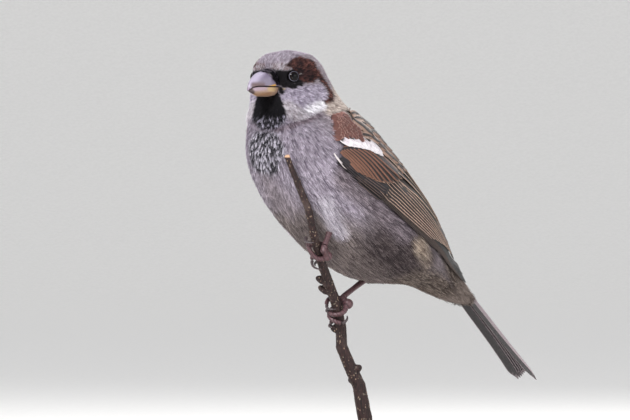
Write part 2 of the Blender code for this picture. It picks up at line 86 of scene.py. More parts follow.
# Distances from the bill's root over which the coat grows deeper, sparser, longer and coarser, and
# over which its lie turns from the head's to the body's.
DEPTH_EASE = (8 * MM, 42 * MM)
SPACING_EASE = (9 * MM, 44 * MM)
LENGTH_EASE = (8 * MM, 52 * MM)
BARB_EASE = (8 * MM, 36 * MM)
LIE_EASE = (16 * MM, 44 * MM)
# The skin: how far its solids swell to meet, rounds of smoothing, and how far it sinks below the coat.
SKIN_SWELL = 0.40 * MM
SKIN_ROUNDS = 30
SKIN_SINK = 0.25 * MM
# Places tried for each feather wanted, and steps along a feather's path.
TRIES_PER_FEATHER = 7
TUFT_STEPS = 4
# How far the coat's roots stay from the bill, the folded wings and the tail.
BILL_CLEAR = 0.45 * MM
WING_CLEAR = 1.55 * MM
TAIL_CLEAR = 0.3 * MM
# Feathers over the bill's base: their length, and the width, lift and barb width of a tuft.
BILL_BASE_LENGTH = 1.0 * MM
BILL_BASE_TUFT = (0.36 * MM, 0.28 * MM, 0.13 * MM)
# Where the pieces of the coat part: away from the bill's root, and along the spine.
FACE_END = 15 * MM
HEAD_END = 27 * MM
BREAST_END = 52 * MM
FLANK_END = 78 * MM
# The baking map: the spine's length unrolled, and the width of one tuft's patch.
UNROLLED_LENGTH = 0.13
TUFT_PATCH = 0.003

# The folded wing's surface: samples along and across it, its length, and how far round it they reach.
WING_SAMPLES = (73, 41)
WING_LENGTH = 78 * MM
WING_BEFORE = 0.2
WING_BESIDE = 0.3
# Rows of feathers on the shoulder, of small coverts and on the back, and feathers in each row.
SCAPULAR_ROWS, SCAPULAR_COUNT = 4, 6
LESSER_ROWS, LESSER_COUNT = 7, 9
MANTLE_ROWS, MANTLE_COUNT = 8, 9
# Millimetres along the spine: where the mantle's rearmost tips end, from row to row, and from root to tip.
MANTLE_FROM, MANTLE_STEP, MANTLE_REACH = 60.0, 3.2, 8.5
# Rays that look for the plumage's surface start this far out from the spine.
FEATHER_PROBE = 45 * MM
# Steps along one tail feather.
TAIL_STEPS = 40

# Fineness of the parts' surfaces.
BILL_VOXEL = 0.14 * MM
LEG_VOXEL = 0.15 * MM
CLAW_VOXEL = 0.06 * MM
BARK_VOXEL = 0.30 * MM
# Length of one plate of scale on the shank.
PLATE = 0.95 * MM


def centre(node):
    """Middle of a CAD node's box."""
    low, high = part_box(node)
    return (low + high) / 2


LEFT_EYE, RIGHT_EYE = centre("eye_left"), centre("eye_right")
EYES = (LEFT_EYE + RIGHT_EYE) / 2
EYE_RADIUS = (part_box("eye_left")[1].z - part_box("eye_left")[0].z) / 2
# The head is turned: its own side and forward directions.
HEAD_LEFT = (LEFT_EYE - RIGHT_EYE).normalized()
HEAD_AHEAD = HEAD_LEFT.cross(Vector(UP))
# Head markings are in millimetres ahead of, beside (left positive) and above this point.
HEAD_ZERO = EYES + HEAD_AHEAD * 0.5 * MM
BILL_ROOT = np.array(EYES + HEAD_AHEAD * 3.4 * MM - Vector((0, 0, 2.6 * MM)))

# Guide lines below are in millimetres from this point, X towards the tail, Z from the floor.
BASE_MIDDLE = centre("stand_base")
ORIGIN = Vector((BASE_MIDDLE.x - 15.8 * MM, BASE_MIDDLE.y + 0.9 * MM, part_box("stand_base")[0].z))
MID = ORIGIN.y
# Body markings are in millimetres ahead of, beside (left positive) and above this point.
BODY_ZERO = ORIGIN + Vector((-13.9, 0, 142)) * MM
# The spine from the crown to the rump, and the way that the body's feathers run.
SPINE = ((-9.4, 0, 151), (-8.3, 0, 130), (12.2, 0, 102.8), (29.4, 0, 89.5), (53.8, 0, 75.2), (66, 0, 62))
BODY_RUN = (0.80, 0.0, -0.60)

# The folded left wing's lower and upper edge, from the bend to the tip.
WING_LOWER = ((-6.8, -18.9, 116.5), (3, -20.6, 109.6), (12.6, -21.2, 103),
              (27, -18.6, 93.8), (42, -13, 85.4), (56.4, -7.4, 78.3))
WING_UPPER = ((-4.5, -14.6, 130), (8, -8.6, 130.6), (20, -4.6, 120.2),
              (33.5, -3.2, 107), (46.5, -3.4, 91), (57, -6.6, 79.6))

# The tail's root, its slope, and where its feathers begin and end along it.
TAIL_ROOT = (48.1, 0.0, 86.5)
TAIL_PITCH = math.radians(45.4)
TAIL_FROM = 8.0
TAIL_TO = 58.0


def metres(points):
    """Guide points in millimetres as world places in metres."""
    return np.asarray(points, float) * MM + np.array(ORIGIN)


def body_marks(points):
    """Rows of places as millimetres ahead, left and above the body's marking zero."""
    return (points - np.array(BODY_ZERO)) * (-1000, -1000, 1000)


def head_marks(points):
    """Rows of places as millimetres ahead, left and above the head's zero, in the head's own turn."""
    reach = (points - np.array(HEAD_ZERO)) * 1000
    return np.stack([reach @ np.array(HEAD_AHEAD), reach @ np.array(HEAD_LEFT), reach[:, 2]], 1)


def unit(rows):
    """Rows of vectors made one long."""
    return rows / np.maximum(np.linalg.norm(rows, axis=-1, keepdims=True), 1e-12)


def ease(value, low, high):
    """Smooth step from 0 at low to 1 at high."""
    share = np.clip((np.asarray(value, float) - low) / (high - low), 0, 1)
    return share * share * (3 - 2 * share)


def paint(red, green, blue):
    """A display colour, 0 to 255, as the linear colour that a shader takes."""
    tone = np.array((red, green, blue)) / 255
    linear = np.where(tone <= 0.04045, tone / 12.92, ((tone + 0.055) / 1.055) ** 2.4)
    return (*linear, 1.0)


def curve_at(points, share):
    """Point at a share of the way along a smooth curve through the points."""
    rows = np.asarray(points, float)
    last = len(rows) - 1
    place = min(max(share, 0.0), 1.0) * last
    i = min(int(place), last - 1)
    f = place - i
    p1, p2 = rows[i], rows[i + 1]
    p0 = rows[i - 1] if i > 0 else 2 * p1 - p2
    p3 = rows[i + 2] if i + 2 <= last else 2 * p2 - p1
    bend = (2 * p0 - 5 * p1 + 4 * p2 - p3) * f * f + (3 * p1 - p0 - 3 * p2 + p3) * f ** 3
    return 0.5 * (2 * p1 + (p2 - p0) * f + bend)


def spine_place(points):
    """Distance along the spine, nearest spine point and its direction, for rows of places in metres."""
    line = metres(SPINE)
    best = np.full(len(points), 1e9)
    place = np.zeros(len(points))
    near = np.zeros((len(points), 3))
    run = np.zeros((len(points), 3))
    gone = 0.0
    for a, b in zip(line[:-1], line[1:]):
        length = np.linalg.norm(b - a)
        share = np.clip(((points - a) @ (b - a)) / length ** 2, 0, 1)
        spot = a + share[:, None] * (b - a)
        away = np.linalg.norm(points - spot, axis=1)
        closer = away < best
        best[closer] = away[closer]
        place[closer] = gone + share[closer] * length
        near[closer] = spot[closer]
        run[closer] = (b - a) / length
        gone += length
    return place, near, run


def shaped_mesh(name, points, faces):
    """A mesh from arrays of places and of faces with a like number of corners."""
    mesh = bpy.data.meshes.new(name)
    mesh.vertices.add(len(points))
    mesh.vertices.foreach_set("co", np.ascontiguousarray(points, np.float32).ravel())
    mesh.loops.add(faces.size)
    mesh.loops.foreach_set("vertex_index", np.ascontiguousarray(faces, np.int32).ravel())
    mesh.polygons.add(len(faces))
    mesh.polygons.foreach_set("loop_start", np.arange(0, faces.size, faces.shape[1], dtype=np.int32))
    mesh.update(calc_edges=True)
    mesh.polygons.foreach_set("use_smooth", np.ones(len(faces), bool))
    return mesh


def arc(middle, reach, start, end, steps):
    """Profile points (radius, height) on a round or oval arc between two angles in degrees."""
    return [(middle[0] + reach[0] * math.cos(turn), middle[1] + reach[1] * math.sin(turn))
            for turn in np.radians(np.linspace(start, end, steps))]


def ring_points(profile, sides, middle=(0.0, 0.0)):
    """Points round an upright axis for each (radius, height) of a profile."""
    points = []
    for radius, height in profile:
        for k in range(sides):
            angle = 2 * math.pi * k / sides
            points.append((middle[0] + radius * math.cos(angle),
                           middle[1] + radius * math.sin(angle), height))
    return points


def band(rings, sides, first=0):
    """Four-cornered faces between rings of points, each ring closed on itself."""
    faces = []
    for ring in range(rings - 1):
        for k in range(sides):
            a = first + ring * sides + k
            b = first + ring * sides + (k + 1) % sides
            faces.append((a, b, b + sides, a + sides))
    return faces


def outward_mesh(name, points, faces, flat_caps=False):
    """A smooth mesh with its faces turned outwards; faces with more than four corners can stay flat."""
    mesh = bpy.data.meshes.new(name)
    mesh.from_pydata([tuple(point) for point in points], [], faces)
    work = bmesh.new()
    work.from_mesh(mesh)
    bmesh.ops.recalc_face_normals(work, faces=work.faces)
    for face in work.faces:
        face.smooth = not flat_caps or len(face.verts) == 4
    work.to_mesh(mesh)
    work.free()
    return mesh


def eye_axes(side):
    """The way that one eye looks, and the directions up and across it."""
    outward = np.array(HEAD_LEFT) * (1 if side == "left" else -1)
    axis = unit(outward + np.array(HEAD_AHEAD) * EYE_FORWARD + (0, 0, EYE_UPWARD))
    up = unit(np.cross(np.cross(axis, UP), axis))
    return axis, up, np.cross(axis, up)


def write_value(mesh, name, values):
    """A number on each vertex."""
    mesh.attributes.new(name, "FLOAT", "POINT").data.foreach_set("value", values.astype(np.float32))


def write_vector(mesh, name, rows):
    """A vector on each vertex."""
    layer = mesh.attributes.new(name, "FLOAT_VECTOR", "POINT")
    layer.data.foreach_set("vector", np.ascontiguousarray(rows, np.float32).ravel())


def write_uv(mesh, name, rows, faces):
    """A UV map from a place on each vertex."""
    layer = mesh.uv_layers.new(name=name)
    layer.data.foreach_set("uv", np.ascontiguousarray(rows[faces.ravel()], np.float32).ravel())


def show(name, mesh, materials, stands_for=()):
    """A finished piece: linked, painted and riding on the frame."""
    obj = bpy.data.objects.new(name, mesh)
    bpy.context.scene.collection.objects.link(obj)
    for material in materials:
        mesh.materials.append(material)
    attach(obj, "root")
    if stands_for:
        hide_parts(*stands_for)
    return obj


def coords(mesh):
    """Vertex places of a mesh as an array."""
    rows = np.empty(len(mesh.vertices) * 3, np.float32)
    mesh.vertices.foreach_get("co", rows)
    return rows.reshape(-1, 3).astype(float)


def normals(mesh):
    """Vertex normals of a mesh as an array."""
    rows = np.empty(len(mesh.vertices) * 3, np.float32)
    mesh.vertex_normals.foreach_get("vector", rows)
    return rows.reshape(-1, 3).astype(float)


def move_to(mesh, rows):
    """Puts a mesh's vertices at these places."""
    mesh.vertices.foreach_set("co", np.ascontiguousarray(rows, np.float32).ravel())
    mesh.update()


def joined_copy(nodes, swell=0.0):
    """One mesh of copies of CAD solids, their corners merged and their faces grown a little."""
    whole = bmesh.new()
    for node in nodes:
        part = bmesh.new()
        part.from_mesh(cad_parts[node].data)
        bmesh.ops.remove_doubles(part, verts=part.verts, dist=1e-6)
        part.normal_update()
        for vert in part.verts:
            vert.co += vert.normal * swell
        mesh = bpy.data.meshes.new("part")
        part.to_mesh(mesh)
        part.free()
        whole.from_mesh(mesh)
        bpy.data.meshes.remove(mesh)
    mesh = bpy.data.meshes.new("joined")
    whole.to_mesh(mesh)
    whole.free()
    return mesh


def refined(name, nodes, voxel, swell, rounds):
    """CAD solids as one fine, evenly divided and eased mesh."""
    mesh = joined_copy(nodes, swell)
    obj = bpy.data.objects.new("rough", mesh)
    bpy.context.scene.collection.objects.link(obj)
    whole = obj.modifiers.new("whole", "REMESH")
    whole.mode = "VOXEL"
    whole.voxel_size = voxel
    whole.adaptivity = 0
    eased = obj.modifiers.new("eased", "SMOOTH")
    eased.factor = 0.5
    eased.iterations = rounds
    bpy.context.view_layer.update()
    depsgraph = bpy.context.evaluated_depsgraph_get()
    fine = bpy.data.meshes.new_from_object(obj.evaluated_get(depsgraph))
    bpy.data.objects.remove(obj)
    bpy.data.meshes.remove(mesh)
    fine.name = name
    fine.polygons.foreach_set("use_smooth", np.ones(len(fine.polygons), bool))
    return fine


def solid_tree(nodes):
    """A search tree over copies of CAD solids."""
    work = bmesh.new()
    mesh = joined_copy(nodes)
    work.from_mesh(mesh)
    tree = BVHTree.FromBMesh(work)
    work.free()
    bpy.data.meshes.remove(mesh)
    return tree


class Shader:
    """Builds a node tree: every value may be a socket or a constant."""

    def __init__(self, tree):
        self.tree = tree

    def put(self, socket, value):
        """Links a socket, or sets its constant."""
        if isinstance(value, bpy.types.NodeSocket):
            self.tree.links.new(value, socket)
        elif value is not None:
            if hasattr(socket.default_value, "__len__") and not hasattr(value, "__len__"):
                value = (value,) * len(socket.default_value)
            if hasattr(value, "__len__") and len(socket.default_value) == 3:
                value = tuple(value)[:3]
            socket.default_value = value

    def node(self, kind, values=(), **settings):
        """A node with its settings, and its inputs by position or name."""
        made = self.tree.nodes.new(kind)
        for key, value in settings.items():
            setattr(made, key, value)
        pairs = values.items() if isinstance(values, dict) else enumerate(values)
        for key, value in pairs:
            self.put(made.inputs[key], value)
        return made

    def math(self, operation, *values):
        """One step of arithmetic on values."""
        return self.node("ShaderNodeMath", values, operation=operation).outputs[0]

    def plus(self, a, b):
        """Sum of two values."""
        return self.math("ADD", a, b)

    def minus(self, a, b):
        """What is left of one value without another."""
        return self.math("SUBTRACT", a, b)

    def times(self, a, b):
        """Product of two values."""
        return self.math("MULTIPLY", a, b)

    def vector(self, operation, *values):
        """One step of arithmetic on vectors."""
        made = self.node("ShaderNodeVectorMath", values, operation=operation)
        return made.outputs["Value" if operation in ("DOT_PRODUCT", "LENGTH") else "Vector"]

    def ramp(self, value, low, high, start=0.0, end=1.0, kind="SMOOTHSTEP"):
        """Value carried from low..high to start..end."""
        made = self.node("ShaderNodeMapRange", (value, low, high, start, end), interpolation_type=kind)
        return made.outputs[0]

    def scaled(self, vector, size):
        """A vector made longer or shorter by a value."""
        return self.node("ShaderNodeVectorMath", {0: vector, "Scale": size}, operation="SCALE").outputs[0]

    def mix(self, share, a, b, blend="MIX"):
        """Two colours mixed by a share."""
        made = self.node("ShaderNodeMix", data_type="RGBA", blend_type=blend)
        for index, value in ((0, share), (6, a), (7, b)):
            self.put(made.inputs[index], value)
        return made.outputs[2]

    def tinted(self, colour, light):
        """A colour made lighter or darker by a value."""
        return self.mix(1.0, colour, self.join(light, light, light), "MULTIPLY")

    def noise(self, place, scale, detail=2.0, rough=0.5):
        """Cloudy pattern from 0 to 1."""
        values = {"Vector": place, "Scale": scale, "Detail": detail, "Roughness": rough}
        return self.node("ShaderNodeTexNoise", values).outputs["Fac"]

    def attribute(self, name, output="Fac"):
        """A value, or with "Vector" a place, that is written on the mesh."""
        return self.node("ShaderNodeAttribute", attribute_name=name).outputs[output]

    def split(self, place):
        """The three values of a place."""
        return self.node("ShaderNodeSeparateXYZ", (place,)).outputs

    def join(self, x, y, z):
        """A place from three values."""
        return self.node("ShaderNodeCombineXYZ", (x, y, z)).outputs[0]

    def mirrored(self, place):
        """A place with left and right taken as one side."""
        x, y, z = self.split(place)
        return self.join(x, self.math("ABSOLUTE", y), z)


SOCKETS = {"value": "NodeSocketFloat", "colour": "NodeSocketColor", "place": "NodeSocketVector"}


def new_group(name, inputs, outputs):
    """A shader group with named sockets; returns its builder, input sockets and output sockets."""
    tree = bpy.data.node_groups.new(name, "ShaderNodeTree")
    for label, kind, start in inputs:
        socket = tree.interface.new_socket(name=label, in_out="INPUT", socket_type=SOCKETS[kind])
        socket.default_value = start
    for label, kind in outputs:
        tree.interface.new_socket(name=label, in_out="OUTPUT", socket_type=SOCKETS[kind])
    given = tree.nodes.new("NodeGroupInput").outputs
    made = tree.nodes.new("NodeGroupOutput").inputs
    return Shader(tree), given, made


def use_group(shader, name, values):
    """Places a shader group with its own values and returns its outputs."""
    made = shader.node("ShaderNodeGroup", node_tree=bpy.data.node_groups[name])
    for key, value in values.items():
        shader.put(made.inputs[key], value)
    return made.outputs


def new_material(name, roughness, **constants):
    """A Principled material: returns it, its builder and the shader's inputs."""
    material = bpy.data.materials.new(name)
    material.use_nodes = True
    shader = Shader(material.node_tree)
    inputs = material.node_tree.nodes["Principled BSDF"].inputs
    inputs["Roughness"].default_value = roughness
    for key, value in constants.items():
        inputs[key.replace("_", " ")].default_value = value
    return material, shader, inputs


def bump(shader, inputs, height, distance, strength=1.0):
    """Raises the surface by a height in metres times distance."""
    values = {"Height": height, "Distance": distance, "Strength": strength}
    shader.put(inputs["Normal"], shader.node("ShaderNodeBump", values).outputs["Normal"])


def object_place(shader):
    """World place in metres, because every piece sits unturned at the origin."""
    return shader.node("ShaderNodeTexCoord").outputs["Object"]


def grained_material(name, roughness, scale, detail, tones, relief, **constants):
    """A finish whose one fine grain shows in its colour and its surface."""
    material, shader, inputs = new_material(name, roughness, **constants)
    grain = shader.noise(object_place(shader), scale, detail)
    shader.put(inputs["Base Color"], shader.mix(grain, *[paint(*tone) for tone in tones]))
    bump(shader, inputs, grain, relief)
    return material


def body_place(shader, place):
    """World place as millimetres ahead, left and above the body's marking zero."""
    moved = shader.vector("SUBTRACT", place, tuple(BODY_ZERO))
    return shader.vector("MULTIPLY", moved, (-1000.0, -1000.0, 1000.0))


def head_place(shader, place):
    """World place as millimetres ahead, left and above the head's zero, in the head's own turn."""
    moved = shader.vector("SUBTRACT", place, tuple(HEAD_ZERO))
    axes = (HEAD_AHEAD, HEAD_LEFT, Vector(UP))
    return shader.join(*[shader.vector("DOT_PRODUCT", moved, tuple(axis * 1000)) for axis in axes])


def build_stroke_group():
    """Soft capsule mask between two points, for a feather marking."""
    inputs = [("Point", "place", (0, 0, 0)), ("From", "place", (0, 0, 0)), ("To", "place", (1, 0, 0)),
              ("Radius", "value", 1.0), ("Softness", "value", 1.0)]
    shader, given, made = new_group("marking_stroke", inputs, [("Mask", "value")])
    reach = shader.vector("SUBTRACT", given["Point"], given["From"])
    run = shader.vector("SUBTRACT", given["To"], given["From"])
    size = shader.math("MAXIMUM", shader.vector("DOT_PRODUCT", run, run), 0.0001)
    share = shader.math("DIVIDE", shader.vector("DOT_PRODUCT", reach, run), size)
    share = shader.node("ShaderNodeClamp", (share, 0.0, 1.0)).outputs[0]
    away = shader.vector("LENGTH", shader.vector("SUBTRACT", reach, shader.scaled(run, share)))
    outer = shader.plus(given["Radius"], given["Softness"])
    shader.put(made["Mask"], shader.ramp(away, given["Radius"], outer, 1.0, 0.0))


def stroke_mask(shader, place, start, end, radius, softness):
    """Mask of one soft stroke at a place."""
    values = {"Point": place, "From": start, "To": end, "Radius": radius, "Softness": softness}
    return use_group(shader, "marking_stroke", values)["Mask"]


# Each marking: name, the part whose zero and turn it follows, one side only, softness, colour, fringe
# colour, speckle colour, the speckles' share, and its strokes (from, to, radius).
MARKINGS = (
    ("breast", "body", False, 9, (148, 139, 152), (184, 175, 188), (98, 88, 102), 0.36, (
        ((6, 9, -20), (-12, 15, -36), 7.5),)),
    ("belly", "body", False, 9, (128, 117, 116), (164, 152, 149), (84, 74, 76), 0.42, (
        ((-12, 6, -52), (-40, 6, -63), 8),)),
    ("rear_flank", "body", False, 13, (64, 55, 57), (106, 95, 96), (38, 31, 34), 0.46, (
        ((-30, 17, -50), (-40, 16, -57), 4.2),)),
    ("flank_edge", "body", False, 5, (112, 102, 109), (150, 138, 145), (76, 66, 73), 0.42, (
        ((-12, 19, -32), (-34, 19, -47), 2.5),)),
    ("flank_tuft", "body", False, 3.5, (172, 165, 176), (202, 196, 206), (124, 116, 128), 0.32, (
        ((-7, 14.4, -40), (-13.5, 12.6, -49), 1.3),)),
    ("undertail", "body", False, 6, (96, 84, 79), (158, 144, 134), (42, 33, 33), 0.52, (
        ((-46, 7, -61), (-64, 3, -73), 5.5), ((-55, 10, -52), (-70, 6, -66), 4.0))),
    ("flank_end", "body", False, 3.0, (176, 158, 142), (206, 190, 174), (92, 74, 68), 0.38, (
        ((-41, 18, -53), (-46.5, 13.5, -57.5), 1.6),)),
    ("mantle", "body", False, 3, (150, 118, 96), (190, 158, 130), (46, 36, 34), 0.4, (
        ((-24, 0, -12), (-46, 0, -32), 10),)),
    ("rump", "body", False, 4, (124, 112, 106), (150, 137, 130), (94, 83, 80), 0.3, (
        ((-56, 0, -42), (-74, 0, -66), 8),)),
    ("nape", "body", False, 3, (188, 174, 166), (208, 196, 187), (144, 128, 121), 0.3, (
        ((-11.2, 12.7, -10), (-17.4, 9.9, -10), 2.4), ((-17.4, 9.9, -10), (-18, 2, -5), 3))),
    ("crown", "head", False, 2.0, (160, 150, 162), (184, 176, 186), (118, 106, 118), 0.4, (
        ((4, 0, 4), (-3, 2, 8), 4.6), ((-3, 0, 8), (-18, 0, 3), 5.4))),
    ("forehead", "head", False, 1.2, (174, 166, 174), (204, 198, 206), (100, 76, 76), 0.42, (
        ((3.6, 2.4, 3.3), (1.6, 5.9, 3.3), 0.9),)),
    ("cheek", "head", False, 1.4, (168, 159, 176), (192, 185, 200), (116, 106, 124), 0.34, (
        ((2.1, 6.7, -6.3), (-0.2, 9, -5.9), 1.8), ((-0.2, 9, -5.9), (-9.6, 12, -5.3), 2.4),
        ((0.5, 8.7, -8.3), (-7.1, 12.1, -7.1), 2.4))),
    ("throat_side", "head", False, 2.0, (184, 177, 185), (206, 200, 207), (142, 132, 138), 0.3, (
        ((2.1, 6.9, -10.3), (-0.8, 9.9, -12.6), 1.6),)),
    ("cheek_white", "head", False, 1.9, (228, 225, 231), (243, 241, 246), (190, 184, 194), 0.25, (
        ((-3.0, 11.8, -10.7), (-8.6, 13.2, -9.0), 0.6),)),
    ("chestnut", "head", False, 0.8, (84, 49, 44), (128, 88, 80), (27, 16, 19), 0.56, (
        ((0.9, 6.7, 3.7), (-1.8, 7.2, 5.3), 0.6), ((-1.5, 7.4, 5), (-4.7, 8, 5.6), 1.1),
        ((-1.4, 8.6, 3.4), (-7.9, 9.7, 4), 2.1), ((-2.1, 9.7, 1.2), (-7.4, 10.7, 1.2), 2.1),
        ((-3.1, 10.2, -0.9), (-6.7, 10.9, -0.7), 0.8), ((-9.1, 10.4, 2.4), (-11.2, 10.9, -0.4), 1.1),
        ((-12, 10.9, -0.5), (-14, 11.4, -2.6), 0.9), ((-14, 11.4, -2.6), (-15.6, 12, -5.2), 0.9),
        ((-15.6, 12, -5.2), (-13.5, 13.1, -6.9), 0.8), ((-13.1, 13.1, -7.1), (-10.4, 13.2, -8), 0.4))),
    ("temple", "head", False, 1.2, (58, 34, 34), (84, 52, 48), (20, 14, 18), 0.5, (
        ((-1.6, 9.5, 1.2), (-5.6, 10.4, 0.4), 1.1),)),
    ("black_mask", "head", False, 0.45, (15, 12, 17), (26, 23, 30), (8, 7, 10), 0.2, (
        ((4.3, 0, 2.5), (4.1, 2.2, 1.9), 0.28), ((4, 2.2, 1.9), (3.4, 4.4, 1.1), 0.5),
        ((3.4, 4.6, 0.6), (1.8, 7.2, 0.2), 1.5), ((1.5, 7.9, -0.2), (1.4, 8.2, -0.2), 2.2),
        ((3.2, 5, -1), (2.7, 6, -2.4), 1), ((3, 5.8, -2.2), (0.3, 8.5, -3), 0.8),
        ((0.9, 8.2, -1.4), (-1.6, 9.6, -2), 0.9), ((3.5, 4.4, -3.6), (3.1, 5.3, -4.8), 0.8),
        ((7.4, 0.9, 0.7), (3.0, 3.6, 0.2), 0.9), ((5.8, 2.4, -0.7), (3.0, 4.2, -0.8), 1),
        ((4.8, 3.4, -1.9), (3, 4.6, -2), 0.9))),
    ("bib_lower", "head", False, 0.7, (176, 170, 190), (204, 199, 214), (12, 10, 15), 0.74, (
        ((3.6, 0, -13.2), (3.3, 4.6, -12.8), 2), ((3.6, 0, -15.2), (3.7, 3.2, -14.8), 1.5))),
    ("bib", "head", False, 0.6, (13, 11, 16), (19, 17, 23), (7, 6, 9), 0.2, (
        ((3.4, 0, -6.6), (3.2, 2.6, -6.9), 1.9), ((3.5, 0, -9), (3.3, 3.5, -9), 1.9),
        ((3.4, 0, -11.2), (3.2, 4.3, -11.2), 1.8))),
    ("breast_patch", "body", True, 2.0, (186, 180, 194), (224, 220, 231), (20, 18, 25), 0.58, (
        ((9.2, -0.8, -19.6), (8, 6.6, -19.6), 1.2), ((8.8, -2.4, -23), (7.6, 7, -23.6), 2.8),
        ((7.9, -2.5, -27.1), (7.5, 4, -27.9), 2.8))),
    # A painted shadow along the fold where the neck's feathers lie over the breast.
    ("collar_painted_shadow", "body", False, 0.9, (128, 114, 124), (152, 140, 148), (74, 62, 72), 0.5, (
        ((7.5, 7.3, -17.3), (4.7, 10.9, -16), 0.25), ((4.7, 10.9, -16), (-0.4, 13.4, -14.1), 0.45),
        ((-0.4, 13.4, -14.1), (-5.4, 14, -12.4), 0.3))),
    ("gape_spot", "head", False, 0.2, (176, 158, 130), (186, 170, 142), (150, 130, 100), 0.2, (
        ((2.9, 5.9, -4.0), (2.7, 6.2, -4.1), 0.15),)),
    ("eye_spot", "head", False, 0.25, (238, 226, 226), (240, 232, 230), (200, 180, 178), 0.2, (
        ((-1.4, 9.5, 0.9), (-2.2, 9.8, 0.8), 0.12),)),
)
# Plumage and its fringe where no marking lies.
GROUND = (139, 129, 136)
GROUND_FRINGE = (168, 157, 165)


def build_markings_group():
    """The sparrow's markings, and a painted shadow along the collar, as colours of a place: plumage colour
    and its paler fringe.
    """
    shader, given, made = new_group(
        "sparrow_markings", [("Place", "place", (0, 0, 0)), ("Ragged", "value", 0.8)],
        [("Colour", "colour"), ("Fringe", "colour")])
    place = body_place(shader, given["Place"])
    cloud = shader.node("ShaderNodeTexNoise", {"Vector": place, "Scale": 0.9, "Detail": 2.0})
    stray = shader.vector("SUBTRACT", cloud.outputs["Color"], (0.5, 0.5, 0.5))
    stray = shader.scaled(stray, given["Ragged"])
    spots_on = {}
    for part, zero in (("body", place), ("head", head_place(shader, given["Place"]))):
        signed = shader.vector("ADD", zero, stray)
        spots_on[part] = (shader.mirrored(signed), signed)
    speckle = shader.noise(place, 1.05, 3.0, 0.6)
    broad = shader.noise(place, 0.12, 2.0)
    tint = shader.ramp(broad, 0.3, 0.7, 0.9, 1.1)
    colour = shader.tinted(paint(*GROUND), tint)
    fringe = shader.tinted(paint(*GROUND_FRINGE), tint)
    for _, part, one_side, softness, tone, fringe_tone, speckle_tone, amount, strokes in MARKINGS:
        mask = None
        for start, end, radius in strokes:
            stroke = stroke_mask(shader, spots_on[part][one_side], start, end, radius, softness)
            mask = stroke if mask is None else shader.math("MAXIMUM", mask, stroke)
        edge = 0.5 + (0.5 - amount) * 0.32
        spots = shader.ramp(speckle, edge - 0.05, edge + 0.05)
        inner = shader.mix(spots, paint(*tone), paint(*speckle_tone))
        speck = shader.mix(0.25, paint(*speckle_tone), paint(*fringe_tone))
        outer = shader.mix(spots, paint(*fringe_tone), speck)
        colour = shader.mix(mask, colour, inner)
        fringe = shader.mix(mask, fringe, outer)
    shader.put(made["Colour"], colour)
    shader.put(made["Fringe"], fringe)


def skin_material():
    """The markings in dull down, darkened in a fine grain as painted shade under the coat."""
    material, shader, inputs = new_material("down_on_skin", 0.72, Specular_IOR_Level=0.15)
    place = object_place(shader)
    tone = use_group(shader, "sparrow_markings", {"Place": place, "Ragged": 0.8})["Colour"]
    down = shader.noise(place, 2600.0, 3.0)
    # Painted shade: a fine grain darkens the skin's markings to between 0.55 and 0.8 of their tone, as if
    # under the coat.
    shade = shader.ramp(down, 0.25, 0.75, 0.55, 0.8)
    shader.put(inputs["Base Color"], shader.tinted(tone, shade))
    bump(shader, inputs, down, 0.0003)
    return material


def coat_material():
    """The markings on soft barbs: painted shade darker at the root, paler at the tip, each barb a little
    its own.
    """
    material, shader, inputs = new_material("feather_barbs", 0.72, Specular_IOR_Level=0.15)
    place = shader.attribute("mark", "Vector")
    along = shader.attribute("along")
    shade = shader.attribute("shade")
    marks = use_group(shader, "sparrow_markings", {"Place": place, "Ragged": 0.8})
    tip = shader.ramp(shader.plus(along, shader.times(shade, 0.25)), 0.7, 1.15)
    tone = shader.mix(tip, marks["Colour"], marks["Fringe"])
    light = shader.ramp(shade, 0.0, 1.0, 0.46, 1.30, "LINEAR")
    # Painted shade: each barb grows darker towards its root, where the feathers over it would shade it.
    light = shader.times(light, shader.ramp(along, 0.0, 0.7, 0.6, 1.0))
    shader.put(inputs["Base Color"], shader.tinted(tone, light))
    return material


def length_setting(name, description, default):
    """A length on the panel, in metres."""
    return bpy.props.FloatProperty(name=name, description=description, default=default,
                                   unit="LENGTH", precision=5)


class SparrowPlumage(bpy.types.PropertyGroup):
    """Sizes of the skin and its coat."""

    skin_voxel: length_setting("Skin fineness", "Size of the skin's faces", 0.55 * MM)
    face_depth: length_setting("Face coat depth", "Depth of the skin under the coat on the face", 0.55 * MM)
    body_depth: length_setting("Body coat depth", "Depth of the skin under the coat on the body", 1.35 * MM)
    face_gap: length_setting("Face spacing", "Distance between small feathers at the bill", 0.42 * MM)
    body_gap: length_setting("Body spacing", "Distance between feathers on the body", 0.68 * MM)
    face_length: length_setting("Face feather length", "Length of the small feathers at the bill", 1.3 * MM)
    body_length: length_setting("Body feather length", "Length of the feathers on the flanks", 8.4 * MM)
    barb_width: length_setting("Barb width", "Width of one bundle of barbs on the body", 0.22 * MM)
    seed: bpy.props.IntProperty(
        name="Seed", description="Fixed seed of the feathers' scatter", default=11)


class SparrowPerch(bpy.types.PropertyGroup):
    """Sizes of the twig's bark."""

    lenticels: bpy.props.FloatProperty(
        name="Pore density", description="Number of raised pores on a square metre of bark",
        default=260000.0)
    pore_size: length_setting("Pore size", "Half length of a raised pore", 0.28 * MM)
    bark: length_setting("Bark depth", "Depth of the ridges of the bark", 0.10 * MM)
    seed: bpy.props.IntProperty(name="Seed", description="Fixed seed of the pores' places", default=5)


class SparrowStudio(bpy.types.PropertyGroup):
    """Colours and lights of the stage."""

    floor: bpy.props.FloatVectorProperty(
        name="Floor", description="Colour of the plain floor", subtype="COLOR",
        size=3, min=0, max=1, default=(0.80, 0.79, 0.77))
    key: bpy.props.FloatProperty(
        name="Key light", description="Power of the large soft light", default=17.5, unit="POWER")
    fill: bpy.props.FloatProperty(
        name="Fill light", description="Power of the light from the other side", default=5.0, unit="POWER")
    sky: bpy.props.FloatProperty(
        name="Sky", description="Strength of the even light from all round", default=0.55)


